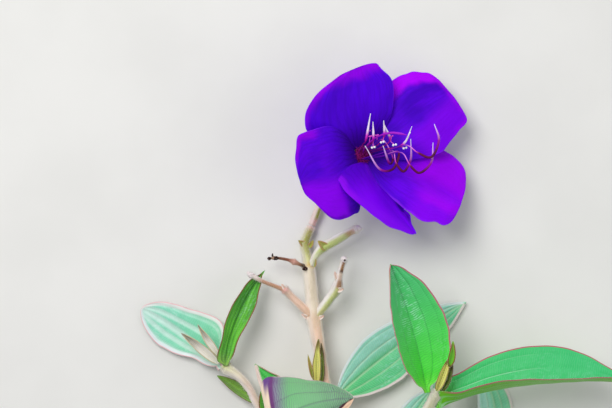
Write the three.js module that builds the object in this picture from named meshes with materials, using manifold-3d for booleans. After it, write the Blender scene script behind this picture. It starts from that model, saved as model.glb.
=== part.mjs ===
// A cut flowering sprig of a princess flower shrub, in millimetres, +Z up.
// It lies on its back: the bloom faces up, the cut end points to -Y, and the lowest leaves touch z = 0.
import * as THREE from "three";
import { LoftGeometry } from "three/addons/geometries/LoftGeometry.js";
import { mergeVertices } from "three/addons/utils/BufferGeometryUtils.js";
import Module from "manifold-3d";

const wasm = await Module();
wasm.setup();

// Driving sizes
const GAP = 0.3; // clearance between a piece and the limb that carries it
const STEM_SIDES = 8;
const STEM_STEPS = 3; // loft steps between two places of a limb
const THREAD_SIDES = 5; // stamens and style
const THREAD_STEPS = 3;

const LEAF_THICK = 0.85;
const LEAF_STEPS = 10; // loft steps from stalk to tip
const LEAF_COLUMNS = 3; // strips in each half of a leaf
const BUD_THICK = 0.8;
const BUD_STEPS = 7;
const BUD_COLUMNS = 2;
const TIP_WIDTH = 0.7; // a blade ends in a blunt point this wide
const LEAF_FOOT = 2.4; // widths where a blade meets what carries it
const BUD_FOOT = 1.6;
const FOLD_ROOM = 0.8; // a blade's two faces use this share of the room inside its fold

const FLOWER_CENTRE = [26.1, 22.9, 22.4];
const FLOWER_AXIS = [0.46, 0.17, 0.87]; // the way the bloom faces
const PETAL_THICK = 0.6;
const PETAL_SEAT = 3.9; // how far from the axis a petal starts
const PETAL_FOOT_HEIGHT = 0.2;
const PETAL_STEPS = 11;
const PETAL_COLUMNS = 4;
const ROUND_SIDES = 15; // sides of the cup and the disc
const CUP_RIM = -1; // height of the cup's rim in the flower's frame
const DISC_RADIUS = 3.4;
const DISC_RISE = 1.6;
const CUP_DEPTH = 12.5; // from the petals' seat down to the stalk
const CUP_RADIUS = 4.6;
const CUP_FOOT = 1.7;
const LOBE_LENGTH = 12;
const LOBE_WIDTH = 4;
const LOBE_FOOT = 2.6;
const LOBE_BROAD = 0.35;
const LOBE_FULL = 1.3;
const LOBE_RISE = [8, 8]; // each half's climb, in degrees
const LOBE_STEPS = 4;
const LOBE_TURN = 10; // where the first lobe stands round the flower, in degrees
const LOBE_HEIGHT = -2; // height of its foot in the flower's frame

// Base colour and roughness of each finish
const FINISHES = {
  bark: [0xd9c9a8, 0.75],
  pink_stem: [0xd8a98c, 0.75],
  green_stem: [0xa3ac62, 0.75],
  brown_spur: [0x8a5a4a, 0.8],
  leaf: [0x3aa63a, 0.5],
  teal: [0x55b892, 0.5],
  mint: [0xa6dcc6, 0.5],
  plum: [0x6f8f72, 0.5],
  bud: [0x9aa843, 0.6],
  petal: [0x5400d6, 0.55],
  maroon: [0x7a1058, 0.8],
  thread: [0xb42aa6, 0.5],
  calyx: [0x9c7a5c, 0.8],
};

// Stems. Each place is [x, y, z, radius]; a larger radius is the swelling at a leaf node.
const LIMBS = {
  stem_main: {
    finish: "bark",
    square: true,
    places: [
      [18.6, -176.8, 3.4, 3.4],
      [17.2, -152, 7.5, 3.2],
      [14.2, -129.3, 12, 3.7],
      [12, -111, 13, 2.9],
      [9.4, -91.4, 13, 3.4],
      [7.1, -73.7, 11.6, 2.5],
      [3.8, -54.4, 9.8, 3.2],
      [2.9, -45, 8.6, 2.7],
      [1.4, -30.4, 6.3, 2.6],
      [0.4, -25, 5.2, 2],
      [-0.6, -18.6, 4, 2.2],
      [2.4, -10.8, 2.6, 2.4],
    ],
  },
  pedicel: {
    finish: "green_stem",
    places: [
      [2.8, -10, 2.6, 1.9],
      [7, 0.5, 3.8, 1.7],
      [13.5, 13.5, 6.6, 1.6],
      [18.2, 19.3, 8.5, 1.6],
      [20, 20.6, 10.9, 1.5],
    ],
  },
  shoot_right: {
    finish: "bark",
    places: [
      [15, -128.6, 12.5, 2.6],
      [28, -121.5, 14.6, 2.4],
      [40.4, -113.4, 17, 2.8],
      [53, -100.5, 22, 2.1],
      [60.2, -88.8, 26, 2.5],
      [61, -86.4, 26.9, 1.8],
    ],
  },
  shoot_left: {
    finish: "bark",
    places: [
      [13.5, -128.6, 12.3, 2.5],
      [-3, -114, 11, 2.2],
      [-20.8, -98, 10, 2],
      [-27, -87.1, 9, 1.9],
      [-31.4, -82, 8.6, 2],
      [-37.4, -78, 8.2, 2.7],
      [-39.6, -76.4, 8.4, 1.9],
    ],
  },
  spur_left_lower: {
    finish: "pink_stem",
    places: [
      [2.4, -52.6, 10.4, 1.6],
      [-7.4, -43.2, 11, 1.4],
      [-10, -40.6, 12, 1.9],
      [-12.4, -39.6, 12.2, 1],
      [-20.8, -36.3, 12.5, 0.9],
      [-25.9, -33.5, 12.5, 1.3],
    ],
  },
  spur_right_lower: {
    finish: "green_stem",
    places: [
      [5.2, -52.6, 10.4, 1.9],
      [10.5, -45.6, 12, 1.7],
      [14.4, -39.8, 13, 2.3],
      [15.8, -33.6, 14, 1.1],
      [17.2, -27.6, 14, 1],
      [17.9, -25.4, 14, 1.3],
    ],
  },
  spur_left_upper: {
    finish: "brown_spur",
    places: [
      [0.2, -30, 7.2, 1.4],
      [-3, -28.6, 8.4, 0.9],
      [-5.7, -27.4, 9, 1.4],
      [-8.6, -26.4, 9.5, 0.8],
      [-13.6, -25.5, 10, 0.8],
      [-15, -25.3, 10, 1.3],
      [-17.4, -25.5, 10, 0.9],
    ],
  },
  spur_right_upper: {
    finish: "green_stem",
    places: [
      [2.6, -29, 7.6, 1.3],
      [5, -24, 8.6, 1.7],
      [8.4, -20.4, 9.6, 2],
      [14, -17.2, 11, 1.5],
      [21.5, -12.8, 12, 1.3],
      [24, -11.8, 12, 1.7],
    ],
  },
};

// Leaves. rib holds the control points of the midrib's curve. left and right say how steeply each
// half climbs, in degrees, at the rib and at the margin, seen from the stalk. broad is where the
// blade is widest, from 0 at its foot to 1 at its tip, and full is low for a blunt blade.
const LEAVES = {
  leaf_upright: {
    finish: "leaf",
    rib: [[56, -87.6, 27], [51, -57, 24], [38.3, -27.3, 44]],
    width: 36,
    broad: 0.52,
    full: 1.35,
    stalk: 0.04,
    left: [52, 76],
    right: [8, 22],
    on: ["shoot_right"],
  },
  leaf_spread: {
    finish: "leaf",
    rib: [[62.6, -90.2, 26], [107, -79.6, 28], [150.8, -81, 24]],
    width: 35,
    broad: 0.5,
    full: 1.35,
    stalk: 0.03,
    left: [-20, -12],
    right: [88, 104],
    on: ["shoot_right"],
  },
  leaf_low_right: {
    finish: "teal",
    rib: [[12.4, -93, 11], [42.7, -66.4, -3], [76.4, -46.8, 2]],
    width: 24,
    broad: 0.42,
    full: 1.64,
    stalk: 0.05,
    left: [14, 4],
    right: [10, 2],
    on: ["stem_main"],
  },
  leaf_low_left: {
    finish: "leaf",
    rib: [[6.4, -93, 12], [-10, -84, 7], [-24.2, -76, 6]],
    width: 22,
    broad: 0.4,
    full: 1.6,
    stalk: 0.06,
    left: [8, 12],
    right: [76, 84],
    on: ["stem_main"],
  },
  leaf_front: {
    finish: "plum",
    rib: [[-5, -112.4, 12.5], [-29, -114, 34], [-14, -88, 50], [21.3, -91.1, 30]],
    up: [-0.2, -1, 0],
    width: 38,
    halves: [1, 0.8],
    broad: 0.5,
    full: 1.3,
    stalk: 0.06,
    left: [-30, -66],
    right: [-10, -25],
    twist: 24,
    on: ["shoot_left"],
  },
  leaf_floor: {
    finish: "leaf",
    rib: [[16.6, -131, 9.4], [34, -144, 0], [59.2, -168, 2]],
    width: 30,
    broad: 0.45,
    full: 1.5,
    stalk: 0.06,
    left: [10, 2],
    right: [10, 2],
    on: ["stem_main"],
  },
  leaf_curved_right: {
    finish: "teal",
    rib: [[41.6, -116, 14.6], [70, -126, 4], [102, -103, 0.5], [86.5, -79.1, 3]],
    width: 19,
    broad: 0.5,
    full: 1.4,
    stalk: 0.06,
    left: [6, 0],
    right: [12, 4],
    on: ["shoot_right"],
  },
  leaf_under_right: {
    finish: "teal",
    rib: [[41.6, -111.6, 14.5], [53, -98, 7], [63, -82.7, 6]],
    width: 15,
    broad: 0.45,
    full: 1.5,
    stalk: 0.06,
    left: [10, 2],
    right: [10, 2],
    on: ["shoot_right"],
  },
  leaf_pale: {
    finish: "mint",
    rib: [[-40.4, -78, 7], [-57.4, -61.6, -2], [-78.6, -49.9, 2]],
    width: 23,
    broad: 0.52,
    full: 1.3,
    stalk: 0.04,
    left: [12, 0],
    right: [12, 0],
    on: ["shoot_left"],
  },
  leaf_narrow: {
    finish: "leaf",
    rib: [[-38, -76, 10.5], [-37.4, -62, 15], [-28.2, -41, 10], [-19.4, -31.4, 6]],
    width: 16,
    broad: 0.47,
    full: 1.75,
    stalk: 0.04,
    left: [54, 50],
    right: [36, 46],
    on: ["shoot_left"],
  },
  leaf_edge: {
    finish: "leaf",
    rib: [[-23.4, -95, 8.8], [-29, -89, 8], [-42.3, -81.6, 5.5]],
    width: 10,
    broad: 0.45,
    full: 1.5,
    stalk: 0.05,
    left: [-55, -60],
    right: [-55, -60],
    on: ["shoot_left"],
  },
  leaf_small: {
    finish: "leaf",
    rib: [[-18, -101, 11.5], [-20, -95, 15], [-21.1, -87.9, 14]],
    width: 5.5,
    broad: 0.4,
    full: 1.6,
    stalk: 0.05,
    left: [25, 30],
    right: [25, 30],
    on: ["shoot_left"],
  },
};

// Young leaves, still folded along the rib
const BUDS = {
  bud_mid_left: { rib: [[5.6, -86, 16.2], [0.6, -72, 18.8], [5.6, -64.8, 16.4]], width: 7.5, fold: 50 },
  bud_mid_right: { rib: [[8.8, -86, 16.2], [9.6, -75, 18], [7.8, -65.8, 16]], width: 6, fold: 55 },
  bud_right_left: { rib: [[60.7, -86.2, 27.9], [62.6, -79, 34], [66.3, -70, 34]], width: 6, fold: 55 },
  bud_right_right: { rib: [[62.4, -86.8, 27.6], [66.6, -80, 31], [67.8, -72.6, 32.5]], width: 5.5, fold: 55 },
  bud_right_inner: { rib: [[65.8, -74.5, 36], [67.4, -69, 38], [67.4, -62.9, 37]], width: 3.6, fold: 40 },
  bud_left_long: { rib: [[-41.2, -75.4, 9.6], [-50, -67, 14.5], [-58.9, -60.7, 14]], width: 6.5, fold: 55 },
  bud_left_short: { rib: [[-40.2, -72.4, 11.4], [-47, -63.6, 14.4], [-51.1, -56.6, 13]], width: 5, fold: 55 },
};
const BUD_BROAD = 0.4;
const BUD_FULL = 1.5;
const BUD_SPREAD = 8; // a half opens this much towards its margin, in degrees
const BUD_ON = ["stem_main", "shoot_right", "shoot_left"];

// Petals, clockwise from the upper left: each laps over the next. turn is the place of its tip
// round the flower in degrees, lean its angle from the flower's axis, reach its length from the
// axis, halves the widths of its two sides, the clockwise one last, and sunk how far its foot lies
// under the others.
const PETALS = [
  { turn: 117, lean: 70, reach: 42, width: 44, halves: [1, 0.94], broad: 0.6, full: 0.85 },
  { turn: 38.5, lean: 72, reach: 51, width: 42, halves: [1, 1], broad: 0.7, full: 1 },
  { turn: -27, lean: 72, reach: 51.5, width: 45, halves: [1, 0.86], broad: 0.7, full: 1 },
  { turn: -57, lean: 82, reach: 44.5, width: 39, halves: [0.2, 1], broad: 0.24, full: 0.7, sunk: 0.3 },
  { turn: -151, lean: 76, reach: 43.5, width: 45, halves: [1, 0.86], broad: 0.55, full: 0.75 },
];
const PETAL_FOOT = 4.2; // a petal's width at the disc
const PETAL_BELLY = 0.85; // height of the rib's middle, as a share of its tip's
const PETAL_ROLL = 12; // the clockwise half rides this much higher, in degrees
const PETAL_CUP = 6;
const PETAL_CURL = -10; // the margins bend back

// Stamens, as places from the flower's centre: a filament, a knee, and the long bent anther. Their
// feet stand in a ring on the disc, one every STAMEN_STEP degrees, clockwise from STAMEN_START.
const STAMENS = [
  [[0.3, 4.8, 7], [1.9, 6.1, 11], [4, 19, 15]],
  [[3.6, 4.6, 9.4], [5.2, 6, 12], [5.4, 15, 15]],
  [[7, 4, 10.6], [10.4, 7.8, 14], [10.4, 15.2, 18]],
  [[5, 4.4, 4.2], [9.6, 7, 5.6], [14.6, -2, 5], [13.4, -4.2, 8], [10.8, 4, 14.6]],
  [[8.6, 2.9, 9.4], [13.4, 6.4, 13], [10.9, 13.6, 18]],
  [[9, 2.2, 7.4], [17, 3.6, 12.4], [20.2, 6, 15], [23, 13.2, 18]],
  [[9, -0.6, 4.6], [16.6, 1.2, 8], [14.6, -5.6, 8.6], [9, -6, 11], [1.2, 4.4, 14]],
  [[9, -1, 6.4], [14, 1.6, 10], [15.4, -4, 10.4], [19, -7.4, 10.5], [22.4, -3, 11.5], [23, 7, 17]],
  [[9, -0.8, 8.6], [18, 0.6, 13], [21.6, -5, 14], [26, -8.4, 14], [31.6, -4, 14.5], [32.6, 4.4, 16]],
  [[9, 0.6, 10.4], [20, 4, 16.4], [25, 1, 17], [31, -0.4, 17.4], [35, 7, 17.6], [33.4, 13.6, 18]],
];
const STAMEN_RING = 2.5;
const STAMEN_START = 176;
const STAMEN_STEP = 32;
const STYLE = [[1.2, 3.2, 10], [6, 9, 16], [12.6, 10.8, 18.6], [17.6, 10.2, 19.4], [21, 9.4, 19.6]];
const FILAMENT_RADIUS = 0.5;
const ANTHER_TIP_RADIUS = 0.3;
const STYLE_RADIUS = 0.45;

const UP = new THREE.Vector3(0, 0, 1);
const MERGE_DISTANCE = 1e-4;
const LEAST_TURN = 1e-6; // stands for no turn, where a turn divides
const radians = THREE.MathUtils.degToRad;
const vector = ([x, y, z]) => new THREE.Vector3(x, y, z);

// A solid from a closed geometry, less the faces that a shared point has closed up
function solidOf(geometry) {
  const points = new THREE.BufferGeometry();
  points.setAttribute("position", geometry.getAttribute("position"));
  points.setIndex(geometry.index);
  const merged = mergeVertices(points, MERGE_DISTANCE);
  const corners = merged.index.array;
  const faces = [];
  for (let i = 0; i < corners.length; i += 3) {
    const face = [corners[i], corners[i + 1], corners[i + 2]];
    if (new Set(face).size === 3) faces.push(...face);
  }
  return new wasm.Manifold(
    new wasm.Mesh({
      numProp: 3,
      vertProperties: merged.attributes.position.array,
      triVerts: new Uint32Array(faces),
    }),
  );
}

// A skin over sections, closed at each end by a fan about the section's middle
function skin(sections, first, last) {
  const closing = (point) => sections[0].map(() => point);
  return solidOf(new LoftGeometry([closing(first), ...sections, closing(last)]));
}

function geometryOf(solid) {
  const { vertProperties, triVerts } = solid.getMesh();
  const geometry = new THREE.BufferGeometry();
  geometry.setAttribute("position", new THREE.BufferAttribute(vertProperties, 3));
  geometry.setIndex(new THREE.BufferAttribute(triVerts, 1));
  geometry.computeVertexNormals();
  return geometry;
}

// The solid with everything within GAP of the limbs cut away, and only its main body kept
function clearOf(solid, limbs) {
  const cut = limbs.reduce((left, limb) => left.subtract(limb), solid);
  return cut.decompose().reduce((a, b) => (a.volume() > b.volume() ? a : b));
}

// Steps along a curve: place, direction, and the side and top directions, carried along without
// turning about the curve.
function framesAlong(curve, steps, up, stepToShare = (share) => share) {
  const frames = [];
  let top = up;
  for (let i = 0; i <= steps; i++) {
    const share = stepToShare(i / steps);
    const ahead = curve.getTangentAt(share);
    top = top.clone().addScaledVector(ahead, -top.dot(ahead)).normalize();
    const side = ahead.clone().cross(top);
    frames.push({ share, at: curve.getPointAt(share), ahead, side, top });
  }
  return frames;
}

// A round limb that swells and tapers with the radius of its places
function limb({ places, sides = STEM_SIDES, steps = STEM_STEPS, square = false, grow = 0 }) {
  const curve = new THREE.CatmullRomCurve3(places.map(vector), false, "centripetal");
  const last = places.length - 1;
  const sections = [];
  let top = UP;
  for (let i = 0; i <= last * steps; i++) {
    const share = i / (last * steps);
    const ahead = square && i === 0 ? new THREE.Vector3(0, 1, 0) : curve.getTangent(share);
    top = top.clone().addScaledVector(ahead, -top.dot(ahead)).normalize();
    const side = ahead.clone().cross(top);
    const from = Math.min(Math.floor(share * last), last - 1);
    const radius = THREE.MathUtils.lerp(places[from][3], places[from + 1][3], share * last - from) + grow;
    sections.push(
      Array.from({ length: sides }, (_, k) => {
        const angle = ((k + 0.5) / sides) * 2 * Math.PI;
        return curve
          .getPoint(share)
          .addScaledVector(side, radius * Math.cos(angle))
          .addScaledVector(top, -radius * Math.sin(angle));
      }),
    );
  }
  return skin(sections, curve.getPoint(0), curve.getPoint(1));
}

// How far out and up a half blade of width 1 has come at share v, when its climb turns evenly
// from the first angle to the second.
function climb(v, [from, to]) {
  const start = radians(from);
  const turn = radians(to - from) || LEAST_TURN;
  const angle = start + turn * v;
  return {
    out: (Math.sin(angle) - Math.sin(start)) / turn,
    rise: (Math.cos(start) - Math.cos(angle)) / turn,
    angle,
  };
}

// A thin blade round a rib: leaf, folded young leaf, petal or calyx lobe
function blade({
  rib,
  up = [0, 0, 1],
  width,
  halves = [1, 1],
  broad,
  full,
  stalk = 0,
  foot,
  left,
  right,
  twist = 0,
  thick,
  steps,
  columns,
  stepToShare,
}) {
  const curve = ribCurve(rib);
  const outline = (share) => {
    const u = THREE.MathUtils.clamp((share - stalk) / (1 - stalk), 0, 1);
    const swell = (u / broad) ** (full * broad) * ((1 - u) / (1 - broad)) ** (full * (1 - broad));
    return Math.max((width * swell) / 2, (share < broad / 2 ? foot : TIP_WIDTH) / 2);
  };
  const fold = Math.abs(Math.tan(radians(left[0] + right[0]) / 2)) || LEAST_TURN;
  const frames = framesAlong(curve, steps, vector(up), stepToShare);
  const sections = frames.map(({ share, at, ahead, side, top }) => {
    const half = outline(share);
    const deep = Math.min(thick, (FOLD_ROOM * 2 * half) / columns / fold);
    for (const way of [side, top]) way.applyAxisAngle(ahead, -radians(twist) * share * share);
    const face = (sign) =>
      Array.from({ length: 2 * columns + 1 }, (_, k) => {
        const v = (k - columns) / columns;
        const hand = Math.sign(v);
        const { out, rise, angle } = climb(Math.abs(v), hand < 0 ? left : right);
        const reach = half * (hand < 0 ? halves[0] : halves[1]);
        const ridge = radians(right[0] - left[0]) / 2;
        const slope = hand ? hand * angle : ridge;
        return at
          .clone()
          .addScaledVector(side, hand * out * reach - (sign * Math.sin(slope) * deep) / 2)
          .addScaledVector(top, rise * reach + (sign * Math.cos(slope) * deep) / 2);
      });
    return [...face(1), ...face(-1).reverse()];
  });
  return skin(sections, curve.getPoint(0), curve.getPoint(1));
}

function ribCurve(points) {
  const controls = points.map(vector);
  return controls.length === 3
    ? new THREE.QuadraticBezierCurve3(...controls)
    : new THREE.CubicBezierCurve3(...controls);
}

const sprig = new THREE.Group();

function add(name, solid, finish, parent = sprig) {
  const [color, roughness] = FINISHES[finish];
  const material = new THREE.MeshStandardMaterial({ color, roughness, metalness: 0 });
  const mesh = new THREE.Mesh(geometryOf(solid), material);
  mesh.name = name;
  parent.add(mesh);
  return mesh;
}

// Stems: each side limb starts inside the stem that bears it and is cut clear of it
const fattened = Object.fromEntries(
  Object.entries(LIMBS).map(([name, spec]) => [name, limb({ ...spec, grow: GAP })]),
);

function addStems() {
  for (const [name, spec] of Object.entries(LIMBS)) {
    const borne = name === "stem_main" ? [] : [fattened.stem_main];
    add(name, clearOf(limb(spec), borne), spec.finish);
  }
}

function addLeaves() {
  for (const [name, { finish, on, ...spec }] of Object.entries(LEAVES)) {
    const leaf = blade({
      ...spec,
      foot: LEAF_FOOT,
      thick: LEAF_THICK,
      steps: LEAF_STEPS,
      columns: LEAF_COLUMNS,
    });
    add(name, clearOf(leaf, on.map((limbName) => fattened[limbName])), finish);
  }
  for (const [name, { rib, width, fold }] of Object.entries(BUDS)) {
    const bud = blade({
      rib,
      width,
      broad: BUD_BROAD,
      full: BUD_FULL,
      foot: BUD_FOOT,
      left: [fold, fold + BUD_SPREAD],
      right: [fold, fold + BUD_SPREAD],
      thick: BUD_THICK,
      steps: BUD_STEPS,
      columns: BUD_COLUMNS,
    });
    add(name, clearOf(bud, BUD_ON.map((limbName) => fattened[limbName])), "bud");
  }
}

// The flower's own frame: +Z is the way it faces, +X stays as near the sprig's +X as it can
function flowerFrame() {
  const axis = vector(FLOWER_AXIS).normalize();
  const east = new THREE.Vector3(1, 0, 0).addScaledVector(axis, -axis.x).normalize();
  const north = axis.clone().cross(east);
  const frame = new THREE.Group();
  frame.quaternion.setFromRotationMatrix(new THREE.Matrix4().makeBasis(east, north, axis));
  frame.position.copy(vector(FLOWER_CENTRE));
  return frame;
}

// A point of the flower's frame: round the axis in degrees, out from it and up it
function polar(turn, out, high) {
  return [out * Math.cos(radians(turn)), out * Math.sin(radians(turn)), high];
}

function petal({ turn, lean, reach, width, halves, broad, full, sunk = 0 }) {
  const out = reach * Math.sin(radians(lean));
  const high = reach * Math.cos(radians(lean));
  return blade({
    rib: [
      polar(turn, PETAL_SEAT, PETAL_FOOT_HEIGHT - sunk),
      polar(turn, out * 0.5, high * PETAL_BELLY),
      polar(turn, out, high),
    ],
    width,
    halves,
    broad,
    full,
    foot: PETAL_FOOT,
    left: [PETAL_CUP - PETAL_ROLL, PETAL_CUP - PETAL_ROLL + PETAL_CURL],
    right: [PETAL_CUP + PETAL_ROLL, PETAL_CUP + PETAL_ROLL + PETAL_CURL],
    thick: PETAL_THICK,
    steps: PETAL_STEPS,
    columns: PETAL_COLUMNS,
    stepToShare: (step) => Math.sin((step * Math.PI) / 2),
  });
}

// The hairy cup behind the petals, with its five pointed lobes
function cup() {
  const profile = [
    [0, -CUP_DEPTH],
    [CUP_FOOT, -CUP_DEPTH],
    [CUP_RADIUS * 0.7, -CUP_DEPTH * 0.86],
    [CUP_RADIUS, -CUP_DEPTH * 0.55],
    [CUP_RADIUS * 0.92, -CUP_DEPTH * 0.2],
    [CUP_RADIUS, CUP_RIM],
    [0, CUP_RIM],
  ].map(([r, z]) => new THREE.Vector2(r, z));
  const body = solidOf(new THREE.LatheGeometry(profile, ROUND_SIDES).rotateX(Math.PI / 2));
  const lobes = PETALS.map((_, i) => {
    const between = LOBE_TURN + (i * 360) / PETALS.length;
    return blade({
      rib: [
        polar(between, CUP_RADIUS - LOBE_LENGTH * 0.1, LOBE_HEIGHT),
        polar(between, CUP_RADIUS + LOBE_LENGTH * 0.4, LOBE_HEIGHT),
        polar(between, CUP_RADIUS + LOBE_LENGTH * 0.9, LOBE_HEIGHT - LOBE_LENGTH * 0.2),
      ],
      width: LOBE_WIDTH,
      broad: LOBE_BROAD,
      full: LOBE_FULL,
      foot: LOBE_FOOT,
      left: LOBE_RISE,
      right: LOBE_RISE,
      thick: PETAL_THICK,
      steps: LOBE_STEPS,
      columns: 1,
    });
  });
  return lobes.reduce((all, lobe) => all.add(lobe), body);
}

function disc(grow = 0) {
  const base = CUP_RIM + GAP - grow;
  const profile = [
    [0, base],
    [DISC_RADIUS + grow, base],
    [DISC_RADIUS + grow, DISC_RISE * 0.3 + grow],
    [DISC_RADIUS * 0.7 + grow, DISC_RISE * 0.85 + grow],
    [0, DISC_RISE + grow],
  ].map(([r, z]) => new THREE.Vector2(r, z));
  return solidOf(new THREE.LatheGeometry(profile, ROUND_SIDES).rotateX(Math.PI / 2));
}

// A thread that stands on the disc, tapering to its tip. foot is in the flower's frame, and the
// other places are from its centre along the sprig's axes.
function thread(flower, foot, places, thick, thin) {
  const toFlower = flower.quaternion.clone().invert();
  const points = [foot, ...places.map((place) => vector(place).applyQuaternion(toFlower).toArray())];
  const last = points.length - 1;
  const tapered = points.map((point, i) => [...point, THREE.MathUtils.lerp(thick, thin, i / last)]);
  const whole = limb({ places: tapered, sides: THREAD_SIDES, steps: THREAD_STEPS });
  return clearOf(whole, [disc(GAP)]);
}

function addFlower() {
  const flower = flowerFrame();
  sprig.add(flower);
  add("calyx", cup(), "calyx", flower);
  add("flower_disc", disc(), "maroon", flower);
  PETALS.forEach((spec, i) => add(`petal_${i + 1}`, petal(spec), "petal", flower));
  STAMENS.forEach((places, i) => {
    const foot = polar(STAMEN_START - i * STAMEN_STEP, STAMEN_RING, DISC_RISE / 2);
    const stamen = thread(flower, foot, places, FILAMENT_RADIUS, ANTHER_TIP_RADIUS);
    add(`stamen_${i + 1}`, stamen, "thread", flower);
  });
  add("style", thread(flower, [0, 0, DISC_RISE / 2], STYLE, STYLE_RADIUS, STYLE_RADIUS), "thread", flower);
}

addStems();
addLeaves();
addFlower();

// The origin is the bottom centre of the sprig's box
const box = new THREE.Box3().setFromObject(sprig, true);
const middle = box.getCenter(new THREE.Vector3());
for (const piece of sprig.children) piece.position.sub(middle.clone().setZ(box.min.z));

export default sprig;
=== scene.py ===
"""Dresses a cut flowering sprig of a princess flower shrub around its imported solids.

Sizes are in millimetres in the sprig's drawing frame: +Z is up, the bloom faces up and the cut end
points to -Y. to_frame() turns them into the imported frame's metres.
"""

import logging
import math
from collections.abc import Callable, Sequence
from dataclasses import dataclass, field
from enum import Enum
from typing import Any

import bpy
import numpy as np
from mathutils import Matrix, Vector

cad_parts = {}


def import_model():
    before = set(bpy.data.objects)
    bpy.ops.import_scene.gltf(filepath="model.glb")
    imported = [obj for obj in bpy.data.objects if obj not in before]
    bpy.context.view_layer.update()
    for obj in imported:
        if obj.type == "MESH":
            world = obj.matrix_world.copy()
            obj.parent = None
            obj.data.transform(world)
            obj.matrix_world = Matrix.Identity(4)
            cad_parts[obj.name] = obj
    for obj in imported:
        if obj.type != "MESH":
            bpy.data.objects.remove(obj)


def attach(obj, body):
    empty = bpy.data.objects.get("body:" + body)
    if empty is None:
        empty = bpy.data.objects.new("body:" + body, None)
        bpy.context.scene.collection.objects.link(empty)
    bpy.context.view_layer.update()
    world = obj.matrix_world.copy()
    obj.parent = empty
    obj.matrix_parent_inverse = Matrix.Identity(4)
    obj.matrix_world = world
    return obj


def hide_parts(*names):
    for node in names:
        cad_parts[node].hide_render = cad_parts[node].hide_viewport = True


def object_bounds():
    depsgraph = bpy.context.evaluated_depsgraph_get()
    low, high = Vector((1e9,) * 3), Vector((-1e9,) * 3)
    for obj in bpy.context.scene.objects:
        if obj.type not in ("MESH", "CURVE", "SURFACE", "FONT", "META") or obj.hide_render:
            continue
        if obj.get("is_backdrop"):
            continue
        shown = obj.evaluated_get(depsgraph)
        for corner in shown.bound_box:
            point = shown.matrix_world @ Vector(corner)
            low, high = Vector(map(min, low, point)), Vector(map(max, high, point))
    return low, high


log = logging.getLogger("sprig")

Point = tuple[float, float, float]
Place = tuple[float, float, float, float]
Angles = tuple[float, float]
Change = tuple[int, float, float, float]  # a side (-1 left, 1 right), a share, millimetres and a spread
Colour = tuple[float, float, float, float]
Relief = Callable[[np.ndarray, np.ndarray, np.ndarray, np.ndarray], np.ndarray]  # heights on a blade
Mover = Callable[[np.ndarray], np.ndarray]  # moves points from one frame to another

ORIGIN = np.array([36.006, -56.187, 0.259])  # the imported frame's origin in the drawing frame
MM = 0.001
CURVE_SAMPLES = 400  # points that measure a curve's length
BODY = "root"
MAP = "blade"
ALONG, HALF, UNDER = "along", "half", "under"
READS = 5  # numbers of each point: along, across, millimetres along, half width and underside
LADDER_STEP = 1.05  # millimetres from one cross vein of a leaf to the next
LADDER_SLANT = 0.3  # how far a cross vein leans forwards for each millimetre out
SCAR_HEIGHT, SCAR_SPREAD = 0.3, 0.7  # the raised rings at a limb's joints, in millimetres
ROW_CROWDING = 1.35  # draws a blade's rows together towards its tip
COLUMN_CROWDING = 1.25  # draws its columns together towards its margins
MARGIN_THIN = 0.35  # how much thinner a blade is at its margins, as a share
BRIM = 0.45  # how far a blade's rounded brim stands out, as a share of its thickness
CREASE_SAMPLES = 400  # points that measure each half of a blade's cross-section


def to_frame(points: np.ndarray) -> np.ndarray:
    """Turn points of the drawing frame, in millimetres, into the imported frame's metres."""
    return (np.asarray(points, float) - ORIGIN) * MM


def colour(code: str) -> Colour:
    """Turn a screen colour into the linear one that a shader takes.

    Args:
        code: The screen colour as six hexadecimal digits.

    Returns:
        Red, green, blue and an alpha of 1.
    """
    parts = [int(code[i : i + 2], 16) / 255 for i in (0, 2, 4)]
    linear = [c / 12.92 if c <= 0.04045 else ((c + 0.055) / 1.055) ** 2.4 for c in parts]
    return (*linear, 1.0)


def unit(vectors: np.ndarray) -> np.ndarray:
    """Scale vectors to length 1."""
    return vectors / np.maximum(np.linalg.norm(vectors, axis=-1, keepdims=True), 1e-12)


def smooth(values: np.ndarray, low: float, high: float) -> np.ndarray:
    """Rise smoothly from 0 at low to 1 at high."""
    share = np.clip((values - low) / (high - low), 0, 1)
    return share * share * (3 - 2 * share)


def bezier(controls: Sequence[Point], shares: np.ndarray) -> tuple[np.ndarray, np.ndarray, float]:
    """Walk a Bezier curve of three or four control points by its length.

    Args:
        controls: The control points.
        shares: The shares of the curve's length to stop at.

    Returns:
        The places, the directions there, and the curve's length.
    """
    controls = np.array(controls, float)
    degree = len(controls) - 1
    weights = [math.comb(degree, i) for i in range(degree + 1)]

    def at(t: np.ndarray, points: np.ndarray, chosen: Sequence[int]) -> np.ndarray:
        """Evaluate a Bezier polynomial.

        Args:
            t: Where along it.
            points: Its control points.
            chosen: Their binomial weights.

        Returns:
            A point for each t.
        """
        n = len(points) - 1
        return sum(
            chosen[i] * ((1 - t) ** (n - i) * t**i)[:, None] * points[i] for i in range(n + 1)
        )

    dense = np.linspace(0, 1, CURVE_SAMPLES)
    lengths = trail(at(dense, controls, weights))
    t = np.interp(shares * lengths[-1], lengths, dense)
    slopes = np.diff(controls, axis=0)
    lower = [math.comb(degree - 1, i) for i in range(degree)]
    return at(t, controls, weights), unit(at(t, slopes, lower)), float(lengths[-1])


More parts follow.
